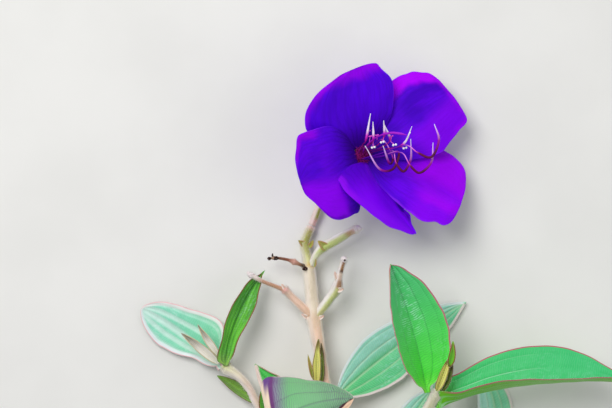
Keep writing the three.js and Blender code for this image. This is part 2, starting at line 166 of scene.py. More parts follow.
def string(places: Sequence[Place], steps: int) -> tuple[np.ndarray, np.ndarray, np.ndarray]:
    """Walk a centripetal Catmull-Rom curve through places that each have a radius.

    Args:
        places: The places and radii.
        steps: How many stops lie between two places.

    Returns:
        The stops, the directions there and the radii.
    """
    spots = np.array(places, float)
    at = spots[:, :3]
    padded = np.vstack([2 * at[0] - at[1], at, 2 * at[-1] - at[-2]])
    centres, ways, radii = [], [], []
    last = len(at) - 1
    for i in range(last):
        p0, p1, p2, p3 = padded[i : i + 4]
        d0, d1, d2 = (math.sqrt(np.linalg.norm(b - a)) for a, b in ((p0, p1), (p1, p2), (p2, p3)))
        t1 = ((p1 - p0) / d0 - (p2 - p0) / (d0 + d1) + (p2 - p1) / d1) * d1
        t2 = ((p2 - p1) / d1 - (p3 - p1) / (d1 + d2) + (p3 - p2) / d2) * d1
        bend, close = -3 * p1 + 3 * p2 - 2 * t1 - t2, 2 * p1 - 2 * p2 + t1 + t2
        for step in range(steps + (i == last - 1)):
            t = step / steps
            centres.append(p1 + t1 * t + bend * t * t + close * t**3)
            ways.append(t1 + 2 * bend * t + 3 * close * t * t)
            radii.append(spots[i, 3] + (spots[i + 1, 3] - spots[i, 3]) * t * t * (3 - 2 * t))
    return np.array(centres), unit(np.array(ways)), np.array(radii)


def trail(places: np.ndarray) -> np.ndarray:
    """How far along a line each of its places lies."""
    return np.concatenate([[0], np.cumsum(np.linalg.norm(np.diff(places, axis=0), axis=1))])


def carry(ahead: np.ndarray, up: Sequence[float]) -> tuple[np.ndarray, np.ndarray]:
    """Carry a top direction along a curve without turning about it.

    Args:
        ahead: The curve's directions.
        up: The first top direction, near enough.

    Returns:
        The side and top directions at each stop.
    """
    tops = np.empty_like(ahead)
    top = np.array(up, float)
    for i, way in enumerate(ahead):
        top = unit(top - way * (top @ way))
        tops[i] = top
    return np.cross(ahead, tops), tops


def spokes(side: np.ndarray, top: np.ndarray, sides: int) -> tuple[np.ndarray, np.ndarray]:
    """Point outwards all round a curve: the directions by stop and by side, and their angles."""
    turns = np.arange(sides) / sides * 2 * math.pi
    return side[:, None] * np.cos(turns)[None, :, None] - top[:, None] * np.sin(turns)[None, :, None], turns


def first_reads(rings: np.ndarray, shares: np.ndarray) -> np.ndarray:
    """Start the reads of a form's points.

    Args:
        rings: The points, ring by ring.
        shares: Their shares of its length.

    Returns:
        The reads, still 0 apart from the shares.
    """
    reads = np.zeros((*rings.shape[:2], READS))
    reads[..., 0] = shares
    return reads


@dataclass
class Ripple:
    """A gentle random field: a few waves that cross one another."""

    seed: int
    wave: float
    height: float
    count: int = 6

    def at(self, x: np.ndarray, y: np.ndarray) -> np.ndarray:
        """Read the field.

        Args:
            x: Places one way, in millimetres.
            y: Places the other way, in millimetres.

        Returns:
            Heights, in millimetres.
        """
        rng = np.random.default_rng(self.seed)
        total = np.zeros(np.broadcast(x, y).shape)
        for _ in range(self.count):
            turn, phase = rng.uniform(0, 2 * math.pi, 2)
            pace = 2 * math.pi / (self.wave * rng.uniform(0.7, 1.6))
            total += np.sin(pace * (x * math.cos(turn) + y * math.sin(turn)) + phase)
        return total * self.height / math.sqrt(self.count)


@dataclass(frozen=True)
class Surface:
    """The sockets of what a finish reads at each point of a blade."""

    u: Any  # the share of the length
    v: Any  # the share of the half width, below 0 on the left
    half: Any  # the half width, in millimetres
    under: Any  # 1 on the underside
    along: Any  # millimetres from the foot
    share: Any  # v without its sign
    out: Any  # millimetres from the rib
    edge: Any  # millimetres from the margin


class Paint:
    """Builds one procedural material, node by node."""

    def __init__(self, name: str, **sockets: Any) -> None:
        """Start a material.

        Args:
            name: The material's name.
            **sockets: Constants of the shader's own sockets, with _ for a space in their names.
        """
        self.material = bpy.data.materials.new(name)
        self.material.use_nodes = True
        self.tree = self.material.node_tree
        self.shader = self.tree.nodes["Principled BSDF"]
        for socket, value in sockets.items():
            self.shader.inputs[socket.replace("_", " ")].default_value = value

    def node(self, kind: str, **settings: Any) -> bpy.types.Node:
        """Add a node.

        Args:
            kind: Its type's name.
            **settings: Its own settings.

        Returns:
            The node.
        """
        made = self.tree.nodes.new(kind)
        for key, value in settings.items():
            setattr(made, key, value)
        return made

    def feed(self, socket: bpy.types.NodeSocket, value: Any) -> None:
        """Join a socket to another node's output, or set its constant.

        Args:
            socket: The socket to fill.
            value: An output socket, or a constant.
        """
        if isinstance(value, bpy.types.NodeSocket):
            self.tree.links.new(value, socket)
        else:
            socket.default_value = value

    def math(self, operation: str, first: Any, second: Any = 0.0) -> Any:
        """Add a Math node.

        Args:
            operation: Its operation.
            first: The first socket or number.
            second: The second one.

        Returns:
            The output socket.
        """
        node = self.node("ShaderNodeMath", operation=operation)
        self.feed(node.inputs[0], first)
        self.feed(node.inputs[1], second)
        return node.outputs[0]

    def times(self, first: Any, *others: Any) -> Any:
        """Multiply numbers, one after another.

        Args:
            first: The first socket or number.
            *others: The rest.

        Returns:
            The output socket.
        """
        for other in others:
            first = self.math("MULTIPLY", first, other)
        return first

    def plus(self, first: Any, second: Any) -> Any:
        """Add two numbers."""
        return self.math("ADD", first, second)

    def minus(self, first: Any, second: Any) -> Any:
        """Take the second number from the first."""
        return self.math("SUBTRACT", first, second)

    def size(self, value: Any) -> Any:
        """Drop a number's sign."""
        return self.math("ABSOLUTE", value)

    def off_whole(self, value: Any) -> Any:
        """Read how far a number is from the nearest whole one."""
        return self.math("PINGPONG", value, 0.5)

    def fade(self, value: Any, low: float, high: float, first: float = 0.0, last: float = 1.0) -> Any:
        """Go smoothly from one number to another as a value passes from low to high.

        Args:
            value: The socket to read.
            low: Where the change starts.
            high: Where it ends.
            first: The number up to low.
            last: The number from high on.

        Returns:
            The output socket.
        """
        node = self.node("ShaderNodeMapRange", interpolation_type="SMOOTHSTEP")
        for name, number in (("From Min", low), ("From Max", high), ("To Min", first), ("To Max", last)):
            node.inputs[name].default_value = number
        self.feed(node.inputs["Value"], value)
        return node.outputs["Result"]

    def mix(self, share: Any, first: Any, second: Any) -> Any:
        """Mix two colours.

        Args:
            share: The share of the second one.
            first: The first colour or its socket.
            second: The second one.

        Returns:
            The output socket.
        """
        node = self.node("ShaderNodeMix", data_type="RGBA")
        self.feed(node.inputs[0], share)
        self.feed(node.inputs[6], first)
        self.feed(node.inputs[7], second)
        return node.outputs[2]

    def ramp(self, share: Any, stops: Sequence[tuple[float, Colour]]) -> Any:
        """Read a colour ramp.

        Args:
            share: The socket to read, from 0 to 1.
            stops: Places and colours.

        Returns:
            The colour's socket.
        """
        node = self.node("ShaderNodeValToRGB")
        elements = node.color_ramp.elements
        while len(elements) < len(stops):
            elements.new(0.5)
        for element, (place, tint) in zip(elements, stops):
            element.position, element.color = place, tint
        self.feed(node.inputs[0], share)
        return node.outputs[0]

    def noise(self, size: float, detail: float = 2.0, where: Any = None) -> Any:
        """Read smooth noise.

        Args:
            size: The size of its patches, in millimetres.
            detail: How many finer layers it has.
            where: The coordinates, or None for the place in the frame.

        Returns:
            The noise's socket, around 0.5.
        """
        node = self.node("ShaderNodeTexNoise")
        node.inputs["Scale"].default_value = 1 / (size * MM) if where is None else 1 / size
        node.inputs["Detail"].default_value = detail
        if where is None:
            where = self.node("ShaderNodeTexCoord").outputs["Object"]
        self.feed(node.inputs["Vector"], where)
        return node.outputs["Fac"]

    def read(self, name: str) -> Any:
        """Read a number that the mesh holds at each point."""
        return self.node("ShaderNodeAttribute", attribute_name=name).outputs["Fac"]

    def blade(self) -> tuple[Any, Any]:
        """Read how far along and across a blade or limb each point is.

        Returns:
            The shares of its length and of its half width.
        """
        parts = self.node("ShaderNodeSeparateXYZ")
        self.feed(parts.inputs[0], self.node("ShaderNodeUVMap", uv_map=MAP).outputs[0])
        return parts.outputs[0], parts.outputs[1]

    def surface(self) -> Surface:
        """Read all that a blade's finish goes by.

        Returns:
            The sockets.
        """
        u, v = self.blade()
        half, share = self.read(HALF), self.size(v)
        out = self.times(share, half)
        return Surface(u, v, half, self.read(UNDER), self.read(ALONG), share, out, self.minus(half, out))

    def pair(self, first: Any, second: Any) -> Any:
        """Join two numbers into coordinates.

        Args:
            first: The first number or socket.
            second: The second one.

        Returns:
            The coordinates' socket.
        """
        node = self.node("ShaderNodeCombineXYZ")
        self.feed(node.inputs[0], first)
        self.feed(node.inputs[1], second)
        return node.outputs[0]

    def bump(self, height: Any, depth: float, below: Any = None) -> Any:
        """Turn a height from 0 to 1 into a tilt of the surface.

        Args:
            height: The height's socket.
            depth: The height of 1, in millimetres.
            below: Another bump's output to build on.

        Returns:
            The normal's socket.
        """
        node = self.node("ShaderNodeBump")
        node.inputs["Distance"].default_value = depth * MM
        self.feed(node.inputs["Height"], height)
        if below is not None:
            self.feed(node.inputs["Normal"], below)
        return node.outputs[0]

    def done(self, tint: Any, normal: Any = None) -> bpy.types.Material:
        """Join the colour and the bump to the shader.

        Args:
            tint: The colour's socket.
            normal: The bump's socket, if there is one.

        Returns:
            The material.
        """
        self.feed(self.shader.inputs["Base Color"], tint)
        if normal is not None:
            self.feed(self.shader.inputs["Normal"], normal)
        return self.material


@dataclass(frozen=True)
class Vein:
    """A lengthwise vein of a leaf, the same on both sides of its middle."""

    place: float  # the share of the half width where it runs
    line: float  # the width of its coloured line, in millimetres
    strong: float  # how clear that line is
    deep: float  # how deep it lies, in millimetres
    wide: float  # the width of its groove, in millimetres


LEAF_VEINS = (Vein(0.0, 0.55, 1, 0.42, 0.75), Vein(0.4, 0.4, 0.85, 0.3, 0.6), Vein(0.78, 0.3, 0.4, 0.2, 0.5))


@dataclass(frozen=True)
class Stretch:
    """A tint on a part of a leaf: where it starts, is full, stays full and ends."""

    turns: tuple[float, float, float, float]  # along the leaf
    sides: tuple[float, float, float, float]  # across the leaf
    tint: str


GREY_TURN = Stretch((0.36, 0.42, 0.5, 0.62), (-2, -1, 0, 0.4), "88809a")
BEND_TINTS = (
    Stretch((0.43, 0.46, 0.493, 0.515), (-2, -1, 0, 0.4), "703878"),
    Stretch((0.32, 0.36, 0.466, 0.478), (-1.04, -0.94, 0, 0.3), "ffe8cc"),
    Stretch((0.425, 0.45, 0.47, 0.5), (-3, -2, -0.92, -0.62), "6c448c"),
)
BEND_OFFSET, BEND_SLANT = 0.4, 0.1  # how the bend of the plum leaf slants across it
INNER_RIM = "fcd4b4"  # the plum leaf's tint beside its dark right margin


@dataclass(frozen=True)
class LeafFinish:
    """A ribbed leaf: lengthwise veins, fine cross veins, silky hairs with painted sheen and glints, and a
    tinted margin.
    """

    name: str
    foot: str
    blade: str
    tip: str
    vein: str
    margin: str
    under: str
    # the tint and share of the pale silky hairs, with a painted sheen that stands in for their shine
    silk_and_sheen: str = "bfe8dc"
    silk_and_sheen_share: float = 0.35
    vein_share: float = 0.35
    ladder_share: float = 0.25
    rim: float = 0.55  # the margin's width, in millimetres
    far_margin: str = ""  # the right margin's tint, where it differs
    lip: str = ""  # a tint on the very edge
    painted_glint: float = 0.0  # how strong the painted glints of the silk are between the cross veins
    bent: bool = False  # whether the leaf turns down, with tints along its bend
    wash: str = ""  # a tint over the left half
    vein_wide: float = 1.0
    vein_end: float = 1.3  # the share of the length where the lengthwise veins end
    tip_from: float = 0.05
    rim_end: float = 1.3  # the share of the length where the left margin's tint ends
    shade: str = ""  # a tint in lengthwise streaks

    def material(self) -> bpy.types.Material:
        """Build the leaf's material.

        Returns:
            The material.
        """
        paint = Paint(
            self.name, Roughness=0.42, Specular_IOR_Level=0.35, Sheen_Weight=0.12, Sheen_Roughness=0.4
        )
        at = paint.surface()
        rung = self.rung(paint, at)
        veins, ladder = self.long_veins(paint, at), self.cross_veins(paint, at, rung)
        tint = self.ground(paint, at, rung)
        if self.bent:
            tint = paint.mix(self.stretch(paint, at, GREY_TURN), tint, colour(GREY_TURN.tint))
        tint = paint.mix(paint.times(ladder, self.ladder_share), tint, colour(self.vein))
        tint = paint.mix(paint.times(veins, self.vein_share), tint, colour(self.vein))
        back = paint.mix(paint.times(veins, 0.5), colour(self.under), colour(self.vein))
        tint = self.margins(paint, at, paint.mix(at.under, tint, back))
        if self.bent:
            tint = self.bend(paint, at, tint)
        grain = paint.bump(paint.noise(0.9, 3), 0.12)
        lines = paint.plus(paint.times(ladder, -0.6), paint.times(veins, -1))
        return paint.done(tint, paint.bump(lines, 0.16, grain))

    def rung(self, paint: Paint, at: Surface) -> Any:
        """Count the cross veins along the leaf, with a wobble.

        Args:
            paint: The material in the making.
            at: What it reads at each point.

        Returns:
            The count's socket, a whole number on each vein.
        """
        wobble = paint.plus(paint.times(paint.noise(6), 2.2), paint.times(paint.noise(1.8), 0.7))
        reach = paint.minus(at.along, paint.times(at.out, LADDER_SLANT))
        return paint.plus(paint.math("DIVIDE", reach, LADDER_STEP), wobble)

    def long_veins(self, paint: Paint, at: Surface) -> Any:
        """Draw the lengthwise veins.

        Args:
            paint: The material in the making.
            at: What it reads at each point.

        Returns:
            The socket of their share.
        """
        veins: Any = 0.0
        for vein in LEAF_VEINS:
            wide = vein.line * self.vein_wide
            off = paint.size(paint.minus(at.share, vein.place))
            line = paint.fade(paint.times(off, at.half), wide * 0.3, wide, vein.strong, 0)
            veins = paint.math("MAXIMUM", veins, line)
        return paint.times(veins, paint.fade(at.u, self.vein_end - 0.3, self.vein_end, 1, 0))

    def cross_veins(self, paint: Paint, at: Surface, rung: Any) -> Any:
        """Draw the cross veins, like a ladder's rungs.

        Args:
            paint: The material in the making.
            at: What it reads at each point.
            rung: The count of the cross veins.

        Returns:
            The socket of their share.
        """
        ladder = paint.times(
            paint.fade(paint.off_whole(rung), 0.04, 0.2, 1, 0), paint.fade(at.edge, 0.6, 2.2)
        )
        if not self.bent:
            return ladder
        return paint.times(ladder, paint.fade(paint.size(paint.minus(at.u, 0.7)), 0.04, 0.22, 0.2, 1))

    def ground(self, paint: Paint, at: Surface, rung: Any) -> Any:
        """Tint the blade from foot to tip, with its wash, streaks, and silky hairs with painted sheen and
        glints.

        Args:
            paint: The material in the making.
            at: What it reads at each point.
            rung: The count of the cross veins.

        Returns:
            The colour's socket.
        """
        tint = paint.mix(paint.fade(at.u, self.tip_from, 0.95), colour(self.blade), colour(self.tip))
        tint = paint.mix(paint.fade(at.u, 0.02, 0.16, 1, 0), tint, colour(self.foot))
        if self.wash:
            tint = paint.mix(paint.fade(paint.times(at.v, -1), -0.1, 0.5, 0, 0.7), tint, colour(self.wash))
        if self.shade:
            streaks = paint.noise(1.2, 2, paint.pair(paint.times(at.along, 0.05), paint.times(at.v, 4)))
            tint = paint.mix(paint.times(paint.fade(streaks, 0.42, 0.6), 0.6), tint, colour(self.shade))
        # pale silky hairs in patches, with a painted sheen standing in for their shine
        silk = paint.noise(1.0, 2, paint.pair(paint.times(at.along, 0.5), paint.times(at.v, at.half)))
        silk_and_sheen = paint.times(paint.fade(silk, 0.45, 0.75), paint.fade(paint.noise(16, 1), 0.35, 0.65))
        tint = paint.mix(paint.times(silk_and_sheen, self.silk_and_sheen_share), tint, colour(self.silk_and_sheen))
        # painted glints: light flecks that stand in for the silk's shine between the cross veins, near the
        # rib
        if self.painted_glint:
            painted_glints = paint.times(
                paint.fade(paint.off_whole(rung), 0.18, 0.42),
                paint.fade(at.share, 0.1, 0.6, 1, 0),
                paint.fade(paint.noise(3, 3), 0.44, 0.62),
                paint.fade(at.u, 0.3, 0.6),
            )
            tint = paint.mix(paint.times(painted_glints, self.painted_glint), tint, colour(self.silk_and_sheen))
        return tint

    def margins(self, paint: Paint, at: Surface, tint: Any) -> Any:
        """Tint the margins.

        Args:
            paint: The material in the making.
            at: What it reads at each point.
            tint: The colour so far.

        Returns:
            The colour's socket.
        """
        ends = paint.times(paint.fade(at.u, 0.05, 0.12), paint.fade(at.half, 0.4, 1.1))
        rim = paint.times(paint.fade(at.edge, self.rim * 0.5, self.rim, 1, 0), ends)
        if self.rim_end < 1:
            near = paint.fade(at.u, self.rim_end - 0.06, self.rim_end + 0.04, 1, 0)
            rim = paint.times(rim, paint.math("MAXIMUM", near, paint.fade(at.v, 0, 0.2)))
        margin: Any = colour(self.margin)
        if self.far_margin:
            margin = paint.mix(paint.fade(at.v, -0.2, 0.2), margin, colour(self.far_margin))
        tint = paint.mix(rim, tint, margin)
        if self.lip:
            tint = paint.mix(paint.fade(at.edge, 0.25, 0.6, 0.9, 0), tint, colour(self.lip))
        return tint

    def bend(self, paint: Paint, at: Surface, tint: Any) -> Any:
        """Tint the right margin and the bend of a leaf that turns down.

        Args:
            paint: The material in the making.
            at: What it reads at each point.
            tint: The colour so far.

        Returns:
            The colour's socket.
        """
        far = paint.fade(at.v, 0.2, 0.4)
        for near, gone, code in ((4.2, 5, self.far_margin), (3, 3.6, INNER_RIM)):
            tint = paint.mix(paint.times(paint.fade(at.edge, near, gone, 1, 0), far), tint, colour(code))
        shown = paint.minus(1.0, at.under)
        for stretch in BEND_TINTS:
            tint = paint.mix(
                paint.times(self.stretch(paint, at, stretch), shown), tint, colour(stretch.tint)
            )
        return tint

    def stretch(self, paint: Paint, at: Surface, stretch: Stretch) -> Any:
        """Read the share of a tint on its part of the leaf.

        Args:
            paint: The material in the making.
            at: What it reads at each point.
            stretch: The tint and its part.

        Returns:
            The share's socket.
        """
        turn = paint.plus(at.u, paint.times(paint.plus(at.v, BEND_OFFSET), BEND_SLANT))
        mask: Any = 1.0
        for place, (start, full, kept, end) in ((turn, stretch.turns), (at.v, stretch.sides)):
            mask = paint.times(mask, paint.fade(place, start, full), paint.fade(place, kept, end, 1, 0))
        return mask


class LeafLook(Enum):
    """The finishes of the leaves, young leaves and bracts."""

    BRIGHT = LeafFinish(
        "bright_leaf", "74f03c", "58ea44", "5cdc88", "329c54", "cc7484", "84c020", silk_and_sheen="c8f4e8", painted_glint=0.7,
        rim=0.75, silk_and_sheen_share=0.15, ladder_share=0.3, vein_share=0.3,
    )
    COOL = LeafFinish(
        "cool_leaf", "7cdc58", "3ccc70", "40cc7c", "c4f6d4", "b85466", "64c000", silk_and_sheen="a4ecd0", painted_glint=0.3,
        silk_and_sheen_share=0.15, ladder_share=0.1, vein_end=0.65, vein_share=0.5,
    )
    PALE_EDGED = LeafFinish(
        "pale_edged_leaf", "6fe04a", "4ccc40", "46cc50", "2f9c4c", "f2dcd2", "d8e0b0", rim=3.2,
        far_margin="dcb8a8",
    )
    TEAL = LeafFinish(
        "teal_leaf", "8ce09a", "54cc80", "6cd4a0", "e4f2d0", "dce6e6", "9fcfae", silk_and_sheen="b8f0f0",
        rim=1.5, far_margin="e8dcd8", wash="a4dcd4", vein_wide=1.6, vein_share=0.32, ladder_share=0.15,
    )
    # The teal finish made lighter: painted light that offsets the shadow which leaf_spread casts on
    # leaf_curved_right.
    BRIGHTENED_TEAL = LeafFinish(
        "brightened_teal_leaf", "a0f0b0", "70e488", "88e4b8", "e4f2d0", "dce6e6", "9fcfae", silk_and_sheen="c8fff8",
        rim=1.5, far_margin="e8dcd8", wash="c0f4ec", vein_wide=1.6, vein_share=0.3, ladder_share=0.15,
    )
    MINT = LeafFinish(
        "mint_leaf", "88e4b4", "7cdcac", "8ce4c4", "ecfaf6", "e4eeee", "b9e2cd", silk_and_sheen="d8f4ee", silk_and_sheen_share=0.4,
        vein_share=0.62, rim=2.6, far_margin="e6ebe6", lip="f0c0c4", vein_wide=4.4, ladder_share=0.1,
    )
    PLUM = LeafFinish(
        "plum_leaf", "58b068", "54c860", "84bc8c", "6c5080", "6a3c80", "f0c4a4", silk_and_sheen="a8dcb8", bent=True,
        silk_and_sheen_share=0.15, vein_share=0.3, ladder_share=0.9, rim=4.6, far_margin="4a1a30", lip="cdb0ba",
        rim_end=0.56,
    )
    DEEP = LeafFinish(
        "deep_leaf", "b0e068", "7cd84a", "68c43a", "3a8c2c", "8a5a3a", "7aa64a", silk_and_sheen="b4e4c8", painted_glint=0.25,
        shade="38842c",
    )
    YOUNG_EDGE = LeafFinish(
        "edge_leaf", "a8cc48", "80b838", "70a030", "5a8828", "8a4430", "7aa64a", silk_and_sheen="b0d890"
    )
    BRACT = LeafFinish(
        "joint_bract", "d0dc70", "a4b84c", "b89c50", "8c9c34", "c09868", "b0b468", silk_and_sheen="f4f0d8", rim=0.5
    )
    PALE_BRACT = LeafFinish(
        "pale_joint_bract", "f4e4d4", "f0dccc", "e8c0b0", "d8b098", "fff2ea", "f0e0d4", silk_and_sheen="fffaf4",
        rim=0.5,
    )
    BUD = LeafFinish(
        "young_leaf", "fcf890", "f4f088", "7a4a34", "6c8820", "9c8440", "e0e478", silk_and_sheen="f8f8c0", rim=0.35,
        vein_share=0.5, vein_wide=0.7, tip_from=0.7,
    )
    DEEP_BUD = LeafFinish(
        "deep_young_leaf", "d0dc60", "90a848", "7c5444", "5c7430", "6c5440", "a4b860", silk_and_sheen="d8e0b8",
        rim=0.4, tip_from=0.6,
    )
    FRESH_BUD = LeafFinish(
        "fresh_young_leaf", "7c3824", "70d030", "84b838", "50a028", "8c5030", "8cc040", silk_and_sheen="b8e890",
        rim=0.5,
    )
    SILKY = LeafFinish(
        "silky_young_leaf", "fffcf4", "fffaf0", "46400c", "f4ecd8", "d8c8a0", "f4f0e0",
        silk_and_sheen="ffffff", silk_and_sheen_share=0.25, tip_from=0.36, rim=0.3,
    )


@dataclass(frozen=True)
class Band:
    """A soft strip on a petal, beside its margin or along its length: magenta colour, painted shade or a
    painted highlight.
    """

    side: int  # -1 for the left half, 1 for the right one, 0 for the tip
    start: float  # the share of the length where it begins
    end: float
    near: float  # millimetres within which it is full
    far: float  # millimetres at which it is gone
    tint: str
    share: float
    place: float = 1.0  # the share of the half width that the millimetres are counted from


PETAL_VEIN = "22006a"
PETAL_BACK = "8a4ad8"


@dataclass(frozen=True)
class PetalFinish:
    """A velvety petal: faint dark veins near its foot, soft bands of magenta, and bands of painted shade and
    painted highlight.
    """

    name: str
    body: str
    deep: str
    bands: tuple[Band, ...] = ()
    throat: str = "3a0096"
    rim: str = "8a20ff"
    lined: float = 1.0

    def material(self) -> bpy.types.Material:
        """Build the petal's material.

        Returns:
            The material.
        """
        sheen = {"Sheen_Weight": 0.08, "Sheen_Roughness": 0.4, "Sheen_Tint": colour("8a20ff")}
        paint = Paint(self.name, Roughness=0.6, Specular_IOR_Level=0.06, **sheen)
        at = paint.surface()
        wander = paint.plus(paint.times(paint.noise(12, 2), 2.4), paint.times(paint.noise(4), 0.7))
        fan = paint.plus(paint.times(at.v, 7), wander)
        veins = paint.fade(paint.off_whole(fan), 0.02, 0.2, 1, 0)
        veins = paint.times(veins, paint.fade(at.along, 5, 17, self.lined, self.lined * 0.06))
        tint = paint.mix(paint.fade(at.along, 2, 16), colour(self.throat), colour(self.deep))
        patches = paint.fade(paint.noise(15, 2), 0.32, 0.68)
        tint = paint.mix(paint.times(paint.fade(at.along, 8, 26), patches), tint, colour(self.body))
        grooves = paint.noise(1.1, 2, paint.pair(paint.times(at.along, 0.09), paint.times(at.v, 15)))
        grooves = paint.times(paint.fade(grooves, 0.4, 0.62, 0, self.lined), paint.fade(at.along, 4, 14))
        tint = paint.mix(paint.times(grooves, 0.2), tint, colour(self.throat))
        ragged = paint.times(paint.minus(paint.noise(7, 2), 0.5), 4)
        for band in self.bands:
            tint = paint.mix(self.strip(paint, at, band, ragged), tint, colour(band.tint))
        tint = paint.mix(paint.times(veins, 0.4), tint, colour(PETAL_VEIN))
        lip = paint.times(paint.fade(at.edge, 0.1, 0.45, 1, 0), paint.fade(at.u, 0.3, 0.5))
        tint = paint.mix(paint.times(lip, 0.45), tint, colour(self.rim))
        tint = paint.mix(paint.times(at.under, 0.6), tint, colour(PETAL_BACK))
        velvet = paint.bump(paint.noise(0.35, 2), 0.05)
        lines = paint.plus(paint.times(veins, -1), paint.times(grooves, -1))
        return paint.done(tint, paint.bump(lines, 0.06, velvet))

    def strip(self, paint: Paint, at: Surface, band: Band, ragged: Any) -> Any:
        """Read the share of a band at each point.

        Args:
            paint: The material in the making.
            at: What it reads at each point.
            band: The band.
            ragged: Small uneven millimetres that blur the band's edge.

        Returns:
            The share's socket.
        """
        if band.side:
            turned = paint.times(at.v, band.side)
            off = paint.size(paint.minus(turned, band.place))
            away, sided = paint.times(off, at.half), paint.fade(turned, -0.3, 0.4)
        else:
            away, sided = paint.minus(paint.math("DIVIDE", at.along, at.u), at.along), 1.0
        return paint.times(
            paint.fade(paint.plus(away, ragged), band.near, band.far, 1, 0),
            sided,
            paint.fade(at.u, band.start - 0.14, band.start + 0.12),
            paint.fade(at.u, band.end - 0.03, band.end + 0.09, 1, 0),
            band.share,
        )


class PetalLook(Enum):
    """The finishes of the five petals, clockwise from the upper left."""

    FIRST = PetalFinish(
        "petal_first", "5a00ee", "5200dc", (
            Band(-1, 0.76, 1, 3, 7.5, "9c00f2", 0.85), Band(-1, 0.5, 0.74, 0.8, 3.5, "9000f0", 0.7),
            Band(1, 0.93, 1, 2.5, 6, "9400f0", 0.6), Band(0, 0.7, 1, 2, 7, "a000f2", 0.75),
            # dark 3c00b4 strip inside the rolled left margin: painted shade under it
            Band(-1, 0.6, 0.9, 1.5, 5, "3c00b4", 0.45, 0.5),
        ),
    )
    SECOND = PetalFinish(
        "petal_second", "6000e6", "4a00c8", (
            # dark 3a00b4 band: painted shade in the crease inside the magenta left margin
            Band(-1, 0.5, 1, 4.5, 8.5, "b800ff", 0.88), Band(-1, 0.5, 0.98, 1, 4, "3a00b4", 0.6, 0.42),
            Band(1, 0.4, 1, 12, 20, "8400f0", 0.75), Band(1, 0.8, 0.96, 0.5, 3.2, "a400f8", 0.6),
            Band(0, 0.7, 1, 0.5, 3.5, "a400f8", 0.55),
        ),
    )
    THIRD = PetalFinish(
        "petal_third", "7000f0", "5e00e6", (
            Band(-1, 0.42, 1, 40, 50, "a400fa", 0.92), Band(1, 0.56, 1, 40, 50, "8c00fa", 0.8),
            # dark 4c00d0 band near the foot on the right: painted shade in the crease beside the fourth
            # petal
            Band(1, 0.6, 1, 2.5, 7.5, "ac00fc", 0.6, 0.2), Band(1, 0.1, 0.5, 1, 6, "4c00d0", 0.5),
            # thin light b838ff line on the lower right margin: a painted highlight
            Band(1, 0.3, 0.8, 0.3, 1.2, "b838ff", 0.3),
        ),
    )
    FOURTH = PetalFinish(
        "petal_fourth", "8800ff", "8000fc", (
            # light 9a20ff line near the middle: a painted highlight along a fold
            Band(1, 0.03, 0.32, 0.5, 2, "9a20ff", 0.45, 0.04),
            # dark 3000a0 strip on the left: painted shadow cast by the third petal's edge
            Band(-1, 0.15, 0.8, 0.3, 1.5, "3000a0", 0.85, 0.66), Band(1, 0.02, 0.34, 1.5, 5, "9c10ff", 0.75),
            Band(1, 0.4, 1, 3, 9, "8c10ff", 0.6),
        ),
        throat="5a00d4", lined=0.35,
    )
    FIFTH = PetalFinish(
        "petal_fifth", "6a00f6", "5800e8", (
            Band(1, 0.6, 0.93, 1.8, 5, "a600fa", 0.85), Band(-1, 0.4, 1, 14, 27, "9200ff", 0.95),
            # dark 3a00a4 and 3c00a0 strips on the left: painted shade beside the overlapping fourth petal
            Band(-1, 0.1, 0.42, 1, 6.5, "3a00a4", 0.75), Band(-1, 0.5, 0.8, 0.3, 1.8, "3c00a0", 0.6),
        ),
    )


BARK_STREAK = "8a7a3c"
BARK_SPECK = "fff6ea"


@dataclass(frozen=True)
class BarkFinish:
    """A young stem: colour by length, with a second tint down one side, pale flanks of hair with a painted
    sheen, and a fine grain.
    """

    name: str
    stops: tuple[tuple[float, str], ...]
    stripe: str = "f0e0d8"
    stripe_share: float = 0.5
    stripe_turn: float = 0.5
    # the pale flanks: white hairs, with a painted sheen where the stem's sides turn away
    flank_hair_and_sheen: str = "f4efe6"
    flank_hair_and_sheen_share: float = 0.55

    def material(self) -> bpy.types.Material:
        """Build the stem's material.

        Returns:
            The material.
        """
        paint = Paint(self.name, Roughness=0.62, Specular_IOR_Level=0.3, Sheen_Weight=0.25)
        u, v = paint.blade()
        tint = paint.ramp(u, [(place, colour(code)) for place, code in self.stops])
        near = paint.math("COSINE", paint.times(paint.minus(v, self.stripe_turn), 2 * math.pi))
        tint = paint.mix(
            paint.times(paint.fade(near, -0.1, 0.6), self.stripe_share), tint, colour(self.stripe)
        )
        # pale hair with a painted sheen on both flanks of the stem
        hair_and_sheen_flanks = paint.fade(paint.math("COSINE", paint.times(v, 4 * math.pi)), 0.1, 0.85)
        tint = paint.mix(paint.times(hair_and_sheen_flanks, self.flank_hair_and_sheen_share), tint, colour(self.flank_hair_and_sheen))
        streaks = paint.noise(1.6, 3, paint.pair(paint.times(paint.read(ALONG), 0.25), paint.times(v, 16)))
        tint = paint.mix(paint.fade(streaks, 0.35, 0.75, 0, 0.26), tint, colour(BARK_STREAK))
        tint = paint.mix(paint.fade(paint.noise(0.7, 2), 0.6, 0.75, 0, 0.3), tint, colour(BARK_SPECK))
        grain = paint.bump(paint.noise(0.6, 3), 0.12)
        return paint.done(tint, paint.bump(streaks, 0.25, grain))


@dataclass(frozen=True)
class PlainFinish:
    """A small piece in one or more tints along its length, broken up by fine noise."""

    name: str
    stops: tuple[tuple[float, str], ...]
    fleck: str
    flecked: float = 0.3
    roughness: float = 0.5
    grain: float = 0.4
    depth: float = 0.05

    def material(self) -> bpy.types.Material:
        """Build the piece's material.

        Returns:
            The material.
        """
        paint = Paint(self.name, Roughness=self.roughness, Specular_IOR_Level=0.2)
        u, _ = paint.blade()
        tint = paint.ramp(u, [(place, colour(code)) for place, code in self.stops])
        specks = paint.noise(self.grain, 2)
        tint = paint.mix(paint.fade(specks, 0.4, 0.7, 0, self.flecked), tint, colour(self.fleck))
        return paint.done(tint, paint.bump(specks, self.depth))


